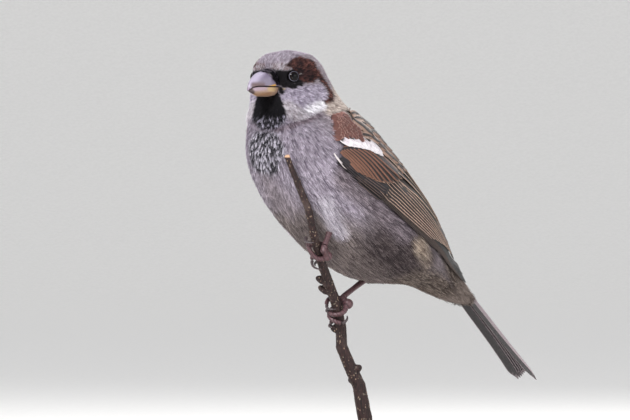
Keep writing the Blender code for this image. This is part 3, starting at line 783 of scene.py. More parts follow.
class SPARROW_OT_stage(bpy.types.Operator):
    """Camera, pale floor with a round rising edge, and soft studio lights"""

    bl_idname = "sparrow.stage"
    bl_label = "Stage"

    def execute(self, context):
        studio = context.scene.sparrow_studio
        target = Vector(metres((0, 0, 100)))
        back = Vector((math.sin(CAMERA_TURN), -math.cos(CAMERA_TURN), 0))
        right = Vector((math.cos(CAMERA_TURN), math.sin(CAMERA_TURN), 0))
        camera = bpy.data.cameras.new("portrait_camera")
        camera.sensor_width = CAMERA_SENSOR
        camera.lens = CAMERA_SENSOR * CAMERA_AWAY / PICTURE_WIDTH
        camera.clip_start = 0.05
        camera.clip_end = 60
        eye = bpy.data.objects.new("portrait_camera", camera)
        eye.location = target + back * CAMERA_AWAY
        eye.rotation_euler = (-back).to_track_quat("-Z", "Y").to_euler()
        context.scene.collection.objects.link(eye)
        context.scene.camera = eye

        edge = FLOOR_FLAT + FLOOR_BEND
        bend = arc((FLOOR_FLAT, FLOOR_BEND), (FLOOR_BEND, FLOOR_BEND), -90, 0, FLOOR_STEPS + 1)
        profile = [(2.0, 0.0), *bend, (edge, 3.0), (edge, 4.5)]
        rows = ring_points(profile, FLOOR_SIDES)
        middle = len(rows)
        rows.append((0, 0, 0))
        faces = band(len(profile), FLOOR_SIDES)
        faces += [(k, (k + 1) % FLOOR_SIDES, middle) for k in range(FLOOR_SIDES)]
        mesh = outward_mesh("studio_floor", rows, faces)
        if sum(face.normal.z * face.area for face in mesh.polygons) < 0:
            mesh.flip_normals()
        floor = bpy.data.objects.new("studio_floor", mesh)
        context.scene.collection.objects.link(floor)
        material, shader, inputs = new_material("studio_paper", 0.85, Specular_IOR_Level=0.2,
                                                Emission_Strength=0.16)
        grain = shader.noise(object_place(shader), 260.0, 3.0)
        tint = shader.ramp(grain, 0.3, 0.7, 0.97, 1.02)
        pale = (*studio.floor, 1.0)
        shader.put(inputs["Base Color"], shader.tinted(pale, tint))
        bump(shader, inputs, grain, 0.00005)
        mesh.materials.append(material)

        # Light name, place to the right, towards the watcher and up in metres, size and power.
        lights = (("key_light", -0.45, 0.80, 0.76, 0.32, studio.key),
                  ("fill_light", 0.85, 0.62, 0.30, 0.80, studio.fill),
                  ("back_light", 0.40, -0.80, 0.70, 0.60, studio.fill * 1.5))
        for name, side, ahead, up, size, power in lights:
            light = bpy.data.lights.new(name, "AREA")
            light.shape = "DISK"
            light.size = size
            light.energy = power
            lamp = bpy.data.objects.new(name, light)
            lamp.location = target + right * side + back * ahead + Vector((0, 0, up))
            lamp.rotation_euler = (target - lamp.location).to_track_quat("-Z", "Y").to_euler()
            lamp.visible_camera = False
            context.scene.collection.objects.link(lamp)
        world = bpy.data.worlds.new("studio_air")
        world.use_nodes = True
        sky = world.node_tree.nodes["Background"].inputs
        sky["Color"].default_value = (0.93, 0.95, 1.0, 1.0)
        sky["Strength"].default_value = studio.sky
        context.scene.world = world
        context.scene.view_settings.view_transform = "Standard"
        return {"FINISHED"}


def coat_depth(points, plumage):
    """Depth of the coat at rows of places: thin on the face, deeper on the body."""
    away = np.linalg.norm(points - BILL_ROOT, axis=1)
    share = ease(away, *DEPTH_EASE)
    return plumage.face_depth + (plumage.body_depth - plumage.face_depth) * share


def crease_distance(points):
    """Height in mm above the fold where the neck's feathers lie over the breast, and its share there."""
    marks = body_marks(points)
    side = np.abs(marks[:, 1])
    fold = -16.8 + 0.10 * side + 0.012 * side * side
    front = ease(marks[:, 0], -8.0, 0.0)
    return marks[:, 2] - fold, front


def eyelids(side):
    """Rings of bare scalloped skin round one eye, as places and faces."""
    middle = np.array(centre("eye_" + side))
    axis, up, across = eye_axes(side)
    # Angle from the eye's axis beyond the opening, and height above the eyeball.
    section = ((0.0, -0.10), (0.3, 0.00), (1.1, 0.05), (2.2, 0.07), (3.4, 0.04), (4.8, -0.03),
               (8.0, -0.16), (20.0, -0.40))
    points = []
    for k in range(LID_TURNS):
        turn = 2 * math.pi * k / LID_TURNS
        opening = LID_OPENING + 2.5 * math.cos(turn) ** 2 - 1.5 * math.sin(turn) ** 2
        scallop = 0.02 * math.cos(turn * LID_SCALLOPS)
        for beyond, height in section:
            lean = math.radians(opening + beyond)
            lift = EYE_RADIUS + (height + scallop * (0.04 < height)) * MM
            ring = math.cos(turn) * across + math.sin(turn) * up
            points.append(middle + lift * (math.cos(lean) * axis + math.sin(lean) * ring))
    span = len(section)
    faces = []
    for k in range(LID_TURNS):
        a = k * span
        b = ((k + 1) % LID_TURNS) * span
        for i in range(span - 1):
            faces.append((a + i, b + i, b + i + 1, a + i + 1))
    return points, faces


def skin_mesh(plumage):
    """The bird's skin: its solids of flesh as one surface, drawn in by the coat's depth."""
    nodes = ["head", "neck", "trunk", "rump", "thigh_left", "thigh_right",
             "wing_coverts_left", "wing_coverts_right"]
    mesh = refined("skin", nodes, plumage.skin_voxel, SKIN_SWELL, SKIN_ROUNDS)
    points = coords(mesh)
    out = normals(mesh)
    depth = coat_depth(points, plumage)
    above, front = crease_distance(points)
    groove = 0.45 * MM * front * np.exp(-(above / 1.6) ** 2)
    points -= out * (depth + SKIN_SINK + groove)[:, None]
    # Round each eye the skin sinks behind the lids.
    for side in SIDES:
        middle = np.array(centre("eye_" + side))
        reach = points - middle
        away = np.linalg.norm(reach, axis=1)
        hollow = EYE_RADIUS * EYE_CLEAR
        inside = away < hollow
        stretch = 0.93 * hollow / np.maximum(away[inside], 1e-6)
        points[inside] = middle + reach[inside] * stretch[:, None]
    move_to(mesh, points)
    work = bmesh.new()
    work.from_mesh(mesh)
    bmesh.ops.smooth_vert(work, verts=work.verts, factor=0.4,
                          use_axis_x=True, use_axis_y=True, use_axis_z=True)
    work.to_mesh(mesh)
    work.free()
    return mesh


def lie_of_feathers(points, out):
    """Direction in which the feathers lie: away from the bill on the head, then down the body."""
    reach = points - BILL_ROOT
    away = np.linalg.norm(reach, axis=1)
    share = ease(away, *LIE_EASE)[:, None]
    run = unit(reach) * (1 - share) + unit(np.array(BODY_RUN)) * share
    marks = body_marks(points)
    # Feathers of the flank sweep out and down towards the leg.
    flank = (ease(marks[:, 2], -30, -42) * ease(marks[:, 0], -28, -10))[:, None]
    run = run + flank * np.array((0.10, 0.0, -0.25))
    run = run - out * np.sum(run * out, axis=1, keepdims=True)
    return unit(run)


def scatter(mesh, plumage, rng):
    """Roots of the feathers: places on the skin, thinned to the spacing wanted at each."""
    mesh.calc_loop_triangles()
    corners = np.empty(len(mesh.loop_triangles) * 3, np.int32)
    mesh.loop_triangles.foreach_get("vertices", corners)
    corners = corners.reshape(-1, 3)
    points = coords(mesh)
    out = normals(mesh)
    a, b, c = points[corners[:, 0]], points[corners[:, 1]], points[corners[:, 2]]
    area = np.linalg.norm(np.cross(b - a, c - a), axis=1) / 2
    away = np.linalg.norm((a + b + c) / 3 - BILL_ROOT, axis=1)
    gap = plumage.face_gap + (plumage.body_gap - plumage.face_gap) * ease(away, *SPACING_EASE)
    weight = area / gap ** 2
    wanted = int(weight.sum() * TRIES_PER_FEATHER)
    chosen = rng.choice(len(weight), wanted, p=weight / weight.sum())
    u, v = rng.random(wanted), rng.random(wanted)
    over = u + v > 1
    u[over], v[over] = 1 - u[over], 1 - v[over]
    tri = corners[chosen]
    share = np.stack([1 - u - v, u, v], axis=1)[:, :, None]
    roots = (points[tri] * share).sum(1)
    facing = unit((out[tri] * share).sum(1))
    gap = gap[chosen]
    tree = KDTree(wanted)
    for i, root in enumerate(roots):
        tree.insert(root, i)
    tree.balance()
    free = np.ones(wanted, bool)
    kept = []
    for i in range(wanted):
        if free[i]:
            kept.append(i)
            for _, j, _ in tree.find_range(roots[i], gap[i]):
                free[j] = False
    return roots[kept], facing[kept]


def bare_places(roots):
    """Which roots lie on an eye, on the bill, under the folded wings or on the tail."""
    wings = [part + side for part in ("wing_coverts_", "wing_tertials_") for side in SIDES]
    near = ((solid_tree(["bill_upper", "bill_lower"]), BILL_CLEAR), (solid_tree(wings), WING_CLEAR),
            (solid_tree(["tail"]), TAIL_CLEAR))
    eyes = [Vector(centre("eye_" + side)) for side in SIDES]
    bare = np.zeros(len(roots), bool)
    for i, root in enumerate(roots):
        spot = Vector(root)
        bare[i] = (any((spot - eye).length < EYE_RADIUS * EYE_CLEAR for eye in eyes)
                   or any(tree.find_nearest(spot, reach)[0] is not None for tree, reach in near))
    return bare


def walk(tree, roots, facing, length):
    """Paths of the feathers' shafts over the skin: places, outward directions and lies at each step."""
    spots = [roots]
    outs = [facing]
    lies = [lie_of_feathers(roots, facing)]
    for _ in range(TUFT_STEPS):
        ahead = spots[-1] + lies[-1] * (length / TUFT_STEPS)[:, None]
        near = np.empty_like(ahead)
        out = np.empty_like(ahead)
        for i, spot in enumerate(ahead):
            place, normal, _, _ = tree.find_nearest(Vector(spot))
            near[i] = place
            out[i] = normal
        out = unit(out * 0.5 + outs[-1] * 0.5)
        # A feather bridges a hollow instead of diving into it.
        spots.append(near * 0.75 + ahead * 0.25)
        outs.append(out)
        lies.append(lie_of_feathers(spots[-1], out))
    return np.stack(spots, 1), np.stack(outs, 1), np.stack(lies, 1)


def bill_base_paths(rng):
    """Paths of the small feathers that grow forward over the base of the upper bill."""
    mesh = refined("bill_base", ["bill_upper"], 0.2 * MM, 0.0, 4)
    roots, out = coords(mesh), normals(mesh)
    bpy.data.meshes.remove(mesh)
    marks = head_marks(roots)
    # They reach further forward on the ridge than at the gape.
    edge = 3.8 + (marks[:, 2] + 2.35) * 0.84
    covered = (marks[:, 2] > -2.45) & (marks[:, 0] < edge)
    covered &= rng.random(len(roots)) < 0.45
    roots, out, marks = roots[covered], out[covered], marks[covered]
    side = np.sign(marks[:, 1])[:, None] * np.array(HEAD_LEFT)
    lie = np.array(HEAD_AHEAD) + side * 0.1 + (0, 0, -0.3)
    lie = unit(lie - out * np.sum(lie * out, axis=1, keepdims=True))
    stops = TUFT_STEPS + 1
    spots = roots[:, None] + lie[:, None] * np.linspace(0, BILL_BASE_LENGTH, stops)[None, :, None]
    return spots, np.repeat(out[:, None], stops, axis=1), np.repeat(lie[:, None], stops, axis=1)


def along_path(rows, share):
    """Rows of paths read at shares of their length; share has one row of values for each path."""
    last = rows.shape[1] - 1
    place = np.clip(share, 0, 1) * last
    low = np.minimum(place.astype(int), last - 1)
    part = (place - low)[..., None]
    index = np.arange(len(rows)).reshape((-1,) + (1,) * (share.ndim - 1))
    return rows[index, low] * (1 - part) + rows[index, low + 1] * part


def feather_tufts(name, paths, sizes, barbs, parts, rng):
    """Tufts of flat tapering barbs that fan from each shaft path, as one mesh."""
    spots, outs, lies = paths
    width, depth, barb = sizes
    count = len(spots)
    lane = np.linspace(-1, 1, barbs)[None, :] + rng.uniform(-0.9, 0.9, (count, barbs)) / barbs
    reach = 1 - 0.30 * lane ** 2 - rng.uniform(0, 0.22, (count, barbs))
    share = np.linspace(0.12, 1, parts + 1)[None, None, :] * reach[:, :, None]
    middle = along_path(spots, share)
    out = unit(along_path(outs, share))
    lie = unit(along_path(lies, share))
    side = unit(np.cross(lie, out))
    spread = lane[:, :, None] * (0.22 + 0.78 * share ** 0.8) * width[:, None, None]
    bend = rng.uniform(-0.12, 0.12, (count, barbs, 1)) * share ** 2 * width[:, None, None]
    lift = depth[:, None, None] * (0.10 + 0.95 * share ** 0.8)
    lift = lift + rng.uniform(-0.10, 0.10, (count, barbs, 1)) * depth[:, None, None]
    lift = lift - (lane[:, :, None] ** 2) * 0.10 * depth[:, None, None]
    line = middle + side * (spread + bend)[..., None] + out * lift[..., None]
    roll = rng.uniform(-0.55, 0.55, (count, barbs, 1))
    blade = side * np.cos(roll)[..., None] + out * np.sin(roll)[..., None]
    taper = np.linspace(1.0, 0.30, parts + 1)[None, None, :] * 0.5
    half = barb[:, None, None] * taper * rng.uniform(0.8, 1.2, (count, barbs, 1))
    points = np.stack([line - blade * half[..., None], line + blade * half[..., None]], axis=3)
    rows = (parts + 1) * 2
    total = count * barbs
    start = (np.arange(total) * rows)[:, None]
    quads = np.array([(2 * i, 2 * i + 1, 2 * i + 3, 2 * i + 2) for i in range(parts)])
    faces = (start[:, :, None] + quads[None]).reshape(-1, 4)
    mesh = shaped_mesh(name, points.reshape(-1, 3), faces)
    shade = np.clip(rng.normal(0.5, 0.22, (count, barbs)) + rng.normal(0, 0.15, (count, 1)), 0, 1)
    write_value(mesh, "shade", np.repeat(shade.reshape(-1), rows))
    write_value(mesh, "along", np.repeat(share[..., None], 2, axis=3).reshape(-1))
    # Each barb takes its colour from the place that its open end covers.
    shown = along_path(spots, reach * 0.82) + along_path(outs, reach * 0.82) * depth[:, None, None]
    shown = shown + side[:, :, -1] * (spread + bend)[:, :, -1, None]
    write_vector(mesh, "mark", np.repeat(shown.reshape(-1, 3), rows, axis=0))
    # The baking map: a small patch for each tuft at its root's place on the unrolled skin.
    place, near, run = spine_place(spots[:, 0])
    away = spots[:, 0] - near
    lateral = np.cross(run, (0.0, 1.0, 0.0))
    turn = np.arctan2(away[:, 1], np.sum(away * lateral, axis=1)) / (2 * math.pi) + 0.5
    patch_u = (np.arange(barbs)[:, None, None] + np.array((0.1, 0.9))) / barbs
    patch_u = np.broadcast_to(patch_u, (barbs, parts + 1, 2))
    patch_v = np.broadcast_to(np.linspace(0, 1, parts + 1)[None, :, None], (barbs, parts + 1, 2))
    map_u = 0.01 + 0.97 * turn[:, None, None, None] + TUFT_PATCH * patch_u[None]
    map_v = 0.01 + 0.97 * (place / UNROLLED_LENGTH)[:, None, None, None] + TUFT_PATCH * patch_v[None]
    write_uv(mesh, "OFBake", np.stack([map_u, map_v], -1).reshape(-1, 2), faces)
    return mesh


class SPARROW_OT_plumage(bpy.types.Operator):
    """One skin with lids round the eyes, and the coat of small feathers over it"""

    bl_idname = "sparrow.plumage"
    bl_label = "Skin and coat"

    def execute(self, context):
        plumage = context.scene.sparrow_plumage
        skin = skin_mesh(plumage)
        work = bmesh.new()
        work.from_mesh(skin)
        tree = BVHTree.FromBMesh(work)
        for side in SIDES:
            points, faces = eyelids(side)
            verts = [work.verts.new(point) for point in points]
            for face in faces:
                made = work.faces.new([verts[i] for i in (face if side == "left" else face[::-1])])
                made.material_index = 1
                made.smooth = True
        roots, facing = scatter(skin, plumage, np.random.default_rng(plumage.seed))
        work.to_mesh(skin)
        work.free()
        lid = grained_material("eyelid_skin", 0.5, 5200.0, 3.0, ((116, 114, 130), (68, 65, 78)), 0.00004,
                               Specular_IOR_Level=0.35)
        show("skin", skin, [skin_material(), lid],
             ("head", "neck", "trunk", "rump", "thigh_left", "thigh_right"))
        rng = np.random.default_rng(plumage.seed + 1)
        kept = ~bare_places(roots)
        roots, facing = roots[kept], facing[kept]
        away = np.linalg.norm(roots - BILL_ROOT, axis=1)
        share = ease(away, *LENGTH_EASE)
        length = plumage.face_length + (plumage.body_length - plumage.face_length) * share
        length = length * rng.uniform(0.85, 1.12, len(roots))
        # The dark-tipped feathers below the bib are short and lie like scales.
        scale_like = np.linalg.norm(body_marks(roots) - (8, 2, -24), axis=1)
        length = length * (1 - 0.45 * np.exp(-(scale_like / 7.5) ** 2))
        depth = coat_depth(roots, plumage)
        above, front = crease_distance(roots)
        ruff = front * np.exp(-((above - 3.0) / 2.2) ** 2)
        depth = depth * rng.uniform(0.85, 1.1, len(roots)) + ruff * 0.6 * MM
        place, _, _ = spine_place(roots)
        paths = walk(tree, roots, facing, length)
        coat = coat_material()
        fine = away < HEAD_END
        left = roots[:, 1] < MID
        # Name, the feathers in it, barbs to a tuft and parts to a barb.
        groups = (("coat_face_", fine & (away < FACE_END), 6, 2),
                  ("coat_crown_and_cheek_", fine & (away >= FACE_END), 8, 2),
                  ("coat_breast_", ~fine & (place < BREAST_END), 16, 3),
                  ("coat_flank_", ~fine & (place >= BREAST_END) & (place < FLANK_END), 15, 3),
                  ("coat_vent_", ~fine & (place >= FLANK_END), 14, 3))
        for name, group, barbs, parts in groups:
            for side, half in zip(SIDES, (left, ~left)):
                chosen = group & half
                width = 0.30 * length[chosen] + 0.14 * MM
                barb = plumage.barb_width * (0.55 + 0.45 * ease(away[chosen], *BARB_EASE))
                sizes = (width, depth[chosen], barb)
                part = tuple(rows[chosen] for rows in paths)
                mesh = feather_tufts(name + side, part, sizes, barbs, parts, rng)
                show(name + side, mesh, [coat])
        paths = bill_base_paths(rng)
        sizes = [np.full(len(paths[0]), size) for size in BILL_BASE_TUFT]
        mesh = feather_tufts("coat_bill_base", paths, sizes, 6, 2, rng)
        show("coat_bill_base", mesh, [coat])
        return {"FINISHED"}


def build_vane_group():
    """Pattern of one feather vane on its own map: across 0 to 1, and root to tip 0 to 1."""
    shader, given, made = new_group(
        "feather_vane",
        [("Vane", "place", (0, 0, 0)), ("Centre", "colour", (0, 0, 0, 1)), ("Edge", "colour", (1, 1, 1, 1)),
         ("Tip", "colour", (1, 1, 1, 1)), ("Edge Width", "value", 0.2), ("Tip Length", "value", 0.1),
         ("Root", "colour", (0, 0, 0, 1)), ("Root Length", "value", 0.0), ("Barbs", "value", 40.0),
         ("Ragged", "value", 0.1)],
        [("Colour", "colour"), ("Height", "value")])
    u, v, chance = shader.split(given["Vane"])
    across = shader.times(shader.math("ABSOLUTE", shader.minus(u, 0.5)), 2.0)
    slant = shader.minus(v, shader.times(across, 0.10))
    lane = shader.join(shader.times(u, 3.0), shader.times(slant, 60.0),
                       shader.times(chance, 40.0))
    stray = shader.minus(shader.noise(lane, 1.0, 2.0), 0.5)
    loose = shader.times(stray, given["Ragged"])
    spot = shader.plus(across, loose)
    inner = shader.minus(1.0, given["Edge Width"])
    soft = shader.times(given["Edge Width"], 0.25)
    edge = shader.ramp(spot, shader.minus(inner, soft), shader.plus(inner, soft))
    reach = shader.plus(v, loose)
    tip_from = shader.minus(1.0, given["Tip Length"])
    tip = shader.ramp(reach, shader.minus(tip_from, 0.05), shader.plus(tip_from, 0.03))
    root = shader.ramp(reach, shader.minus(given["Root Length"], 0.12),
                       shader.plus(given["Root Length"], 0.12), 1.0, 0.0)
    colour = shader.mix(root, given["Centre"], given["Root"])
    colour = shader.mix(edge, colour, given["Edge"])
    colour = shader.mix(tip, colour, given["Tip"])
    wave = shader.math("SINE", shader.times(slant, shader.times(given["Barbs"], 6.2832)))
    shaft = shader.ramp(across, 0.03, 0.09, 1.0, 0.0)
    light = shader.plus(shader.ramp(wave, -1.0, 1.0, 0.86, 1.05), shader.times(stray, 0.5))
    light = shader.times(light, shader.ramp(chance, 0.0, 1.0, 0.88, 1.1, "LINEAR"))
    light = shader.times(light, shader.minus(1.0, shader.times(shaft, 0.35)))
    shader.put(made["Colour"], shader.tinted(colour, light))
    shader.put(made["Height"], shader.plus(shader.times(wave, 0.5), shaft))


# Finish of each kind: middle, edge and tip colour, width of the edge, length of the tip, barbs,
# and what differs from the usual root and edge.
VANE_FINISHES = {
    "primary": ((20, 16, 18), (68, 55, 50), (30, 24, 25), 0.08, 0.01, 60, {}),
    "secondary": ((34, 26, 26), (176, 150, 134), (92, 74, 66), 0.10, 0.01, 60, {}),
    "tertial": ((42, 32, 30), (184, 158, 141), (140, 116, 102), 0.13, 0.015, 60, {}),
    "primary_covert": ((28, 23, 28), (92, 74, 68), (50, 40, 40), 0.16, 0.04, 46, {}),
    "alula": ((28, 24, 29), (72, 60, 62), (60, 50, 52), 0.10, 0.04, 40, {}),
    "greater_covert": ((34, 24, 25), (108, 73, 58), (146, 118, 102), 0.40, 0.03, 46, {"ragged": 0.2}),
    "median_covert": ((190, 182, 188), (206, 199, 204), (214, 208, 212), 0.3, 0.3, 34,
                      {"root_tone": (44, 34, 38), "root_length": 0.34}),
    "lesser_covert": ((88, 53, 47), (118, 78, 70), (160, 126, 116), 0.30, 0.07, 26,
                      {"root_tone": (50, 32, 32), "root_length": 0.4, "ragged": 0.5}),
    "mantle": ((38, 30, 30), (134, 109, 96), (44, 35, 34), 0.58, -0.10, 34, {"ragged": 0.3}),
    "alula_white": ((204, 196, 196), (212, 206, 206), (208, 200, 198), 0.2, 0.2, 30, {}),
    "tail": ((36, 31, 34), (150, 138, 142), (150, 138, 142), 0.09, 0.012, 90, {}),
}


def vane_material(kind):
    """Finish of one kind of feather."""
    middle, edge, tip, edge_width, tip_length, barbs, more = VANE_FINISHES[kind]
    material, shader, inputs = new_material(kind + "_vane", 0.62, Specular_IOR_Level=0.3, Sheen_Weight=0.08)
    made = use_group(shader, "feather_vane", {
        "Vane": shader.attribute("vane", "Vector"), "Centre": paint(*middle), "Edge": paint(*edge),
        "Tip": paint(*tip), "Edge Width": edge_width, "Tip Length": tip_length, "Barbs": barbs,
        "Root": paint(*more.get("root_tone", middle)), "Root Length": more.get("root_length", -0.2),
        "Ragged": more.get("ragged", 0.14)})
    shader.put(inputs["Base Color"], made["Colour"])
    bump(shader, inputs, made["Height"], 0.00004, 0.7)
    return material


class Vanes:
    """Collects closed feather blades and gives one mesh of them."""

    def __init__(self):
        self.points = []
        self.faces = []
        self.maps = []
        self.kinds = []
        self.rows = 0

    def add(self, line, out, half_width, kind, chance, thickness=0.10 * MM, camber=0.12,
            blunt=0.72, root_width=0.55, skew=0.0, columns=6, roll=0.0):
        """One blade along a line of places with outward directions; roll lifts one side as on a shingle."""
        steps = len(line)
        run = unit(np.gradient(line, axis=0))
        out = unit(out - run * np.sum(out * run, axis=1, keepdims=True))
        side = np.cross(run, out)
        v = np.linspace(0, 1, steps)
        over = np.clip((v - blunt) / (1 - blunt), 0, 1)
        width = root_width + (1 - root_width) * ease(v, 0, 0.45)
        width = width * np.sqrt(np.maximum(1 - over ** 2, 0.012))
        lane = np.linspace(-1, 1, columns + 1)
        spread = lane[None, :] * (width * half_width)[:, None]
        spread = np.where(spread > 0, spread * (1 + skew), spread * (1 - skew))
        drop = camber * half_width * (lane ** 2)[None, :] * np.ones((steps, 1))
        top = line[:, None] + side[:, None] * spread[..., None]
        top = top + out[:, None] * (roll * spread - drop)[..., None]
        # The round tip: the outer lanes end a little sooner.
        end = (line[-1] - line[0]) * 0.035
        top = top - end * ((lane ** 2)[None, :] * (v ** 6)[:, None])[..., None]
        low = top - out[:, None] * thickness
        count = steps * (columns + 1)
        grid = np.arange(count).reshape(steps, columns + 1) + self.rows
        a, b, c, d = grid[:-1, :-1], grid[:-1, 1:], grid[1:, 1:], grid[1:, :-1]
        upper = np.stack([a, b, c, d], -1).reshape(-1, 4)
        lower = (np.stack([a, d, c, b], -1) + count).reshape(-1, 4)
        rim = np.concatenate([grid[0, :], grid[1:, -1], grid[-1, -2::-1], grid[-2:0:-1, 0]])
        after = np.roll(rim, -1)
        wall = np.stack([rim, rim + count, after + count, after], -1)
        self.faces += [upper, lower, wall]
        self.points += [top.reshape(-1, 3), low.reshape(-1, 3)]
        lanes = np.broadcast_to((lane + 1) / 2, (steps, columns + 1))
        reach = np.broadcast_to(v[:, None], (steps, columns + 1))
        patch = np.stack([lanes, reach, np.full_like(reach, chance)], -1).reshape(-1, 3)
        self.maps += [patch, patch]
        self.kinds += [kind] * (len(upper) + len(lower) + len(wall))
        self.rows += 2 * count

    def mesh(self, name, mirror=False):
        """All the blades as one mesh, or as its mirror image on the bird's other side."""
        points = np.concatenate(self.points)
        faces = np.concatenate(self.faces)
        maps = np.concatenate(self.maps)
        if mirror:
            points = points * (1, -1, 1) + (0, 2 * MID, 0)
            faces = faces[:, ::-1]
        mesh = shaped_mesh(name, points, faces)
        write_vector(mesh, "vane", maps)
        # Each feather has its own patch of the baking map.
        cell = np.repeat(np.arange(len(self.points)), [len(p) for p in self.points])
        across = math.ceil(math.sqrt(len(self.points)))
        place = np.stack([cell % across, cell // across], -1)
        write_uv(mesh, "OFBake", (place + 0.05 + 0.9 * maps[:, :2]) / across, faces)
        mesh.polygons.foreach_set("material_index", np.array(self.kinds, np.int32))
        return mesh


def surface_under(tree, near, ray, share):
    """Outermost place on a ray out of the spine and its outward direction, or None off the surface."""
    hit, normal, _, _ = tree.ray_cast(Vector(near + ray * FEATHER_PROBE), Vector(-ray))
    return hit and (np.array(hit), unit(np.array(normal) * share + ray * (1 - share)))


class WingSurface:
    """The folded left wing's outer surface: along 0..1 from bend to tip, across 0..1 from low to high."""

    def __init__(self):
        tree = solid_tree(["trunk", "neck", "rump", "wing_coverts_left", "wing_tertials_left",
                           "wing_primaries_left"])
        self.spots = np.empty((*WING_SAMPLES, 3))
        self.outs = np.empty((*WING_SAMPLES, 3))
        for i, s in enumerate(np.linspace(-WING_BEFORE, 1, WING_SAMPLES[0])):
            low, high = metres(curve_at(WING_LOWER, s)), metres(curve_at(WING_UPPER, s))
            if s < 0:
                # Ahead of the bend the wing's lie runs on over the shoulder.
                low = low + s * WING_LENGTH * np.array((0.45, -0.08, -0.85))
                high = high + s * WING_LENGTH * np.array((0.75, -0.3, -0.4))
            for j, t in enumerate(np.linspace(-WING_BESIDE, 1 + WING_BESIDE, WING_SAMPLES[1])):
                place = low * (1 - t) + high * t
                near = spine_place(np.array([place]))[1][0]
                ray = unit(place - near)
                self.spots[i, j], self.outs[i, j] = surface_under(tree, near, ray, 0.5) or (place, ray)
        for _ in range(4):
            for rows in (self.spots, self.outs):
                rows[1:-1, 1:-1] = rows[1:-1, 1:-1] * 0.4 + 0.15 * (
                    rows[:-2, 1:-1] + rows[2:, 1:-1] + rows[1:-1, :-2] + rows[1:-1, 2:])
        self.outs = unit(self.outs)

    def read(self, s, t):
        """Places and outward directions at rows of along and across; past the tip it runs straight on."""
        last, edge = WING_SAMPLES[0] - 1, WING_SAMPLES[1] - 1
        i = np.clip((s + WING_BEFORE) / (1 + WING_BEFORE), 0, 1) * last
        j = np.clip((t + WING_BESIDE) / (1 + 2 * WING_BESIDE), 0, 1) * edge
        i0 = np.minimum(i.astype(int), last - 1)
        j0 = np.minimum(j.astype(int), edge - 1)
        a, b = (i - i0)[:, None], (j - j0)[:, None]
        spots, outs = [(rows[i0, j0] * (1 - a) + rows[i0 + 1, j0] * a) * (1 - b)
                       + (rows[i0, j0 + 1] * (1 - a) + rows[i0 + 1, j0 + 1] * a) * b
                       for rows in (self.spots, self.outs)]
        past = np.maximum(s - 1, 0)[:, None]
        run = unit(metres(WING_LOWER[-1]) - metres(WING_LOWER[-2]))
        return spots + past * run * WING_LENGTH, unit(outs)

    def line(self, root, tip, steps, rise):
        """A feather's shaft from a root to a tip place, raised from rise[0] to rise[1]."""
        f = np.linspace(0, 1, steps)
        s = root[0] + (tip[0] - root[0]) * f
        t = root[1] + (tip[1] - root[1]) * f
        spots, outs = self.read(s, t)
        lift = rise[0] + (rise[1] - rise[0]) * f
        return spots + outs * lift[:, None] * MM, outs


# Feather rows of the wing, laid from the tip forwards so that each covers the next one's root.
# kind, roots (along, across) from the first to the last, tips, count, half width in mm,
# height at the root and tip in mm, steps, and how blunt the tip is.
WING_ROWS = (
    ("primary", ((0.34, 0.02), (0.38, 0.12)), ((1.03, 0.00), (0.84, 0.08)),
     7, 2.1, (0.00, 0.10), 14, 0.90),
    ("secondary", ((0.34, 0.09), (0.32, 0.44)), ((0.70, 0.09), (0.88, 0.32)),
     9, 2.2, (0.15, 0.25), 12, 0.88),
    ("tertial", ((0.30, 0.42), (0.26, 0.90)), ((0.80, 0.46), (0.60, 0.90)),
     8, 2.3, (0.35, 0.55), 12, 0.84),
    ("primary_covert", ((0.06, -0.02), (0.12, 0.12)), ((0.40, -0.03), (0.39, 0.16)),
     6, 1.2, (0.25, 0.45), 8, 0.78),
    ("alula", ((0.02, 0.00), (0.04, 0.10)), ((0.20, -0.05), (0.27, 0.02)),
     4, 1.0, (0.35, 0.55), 8, 0.80),
    ("greater_covert", ((0.04, 0.25), (0.05, 0.31), (0.08, 0.36), (0.13, 0.40), (0.20, 0.44)),
     ((0.18, 0.09), (0.26, 0.11), (0.33, 0.16), (0.40, 0.26), (0.45, 0.42)),
     10, 1.7, (0.35, 0.70), 12, 0.82),
    ("median_covert", ((0.02, 0.50), (0.10, 0.54), (0.21, 0.54)),
     ((0.10, 0.41), (0.19, 0.41), (0.30, 0.455)),
     12, 1.25, (0.50, 0.90), 7, 0.66),
)


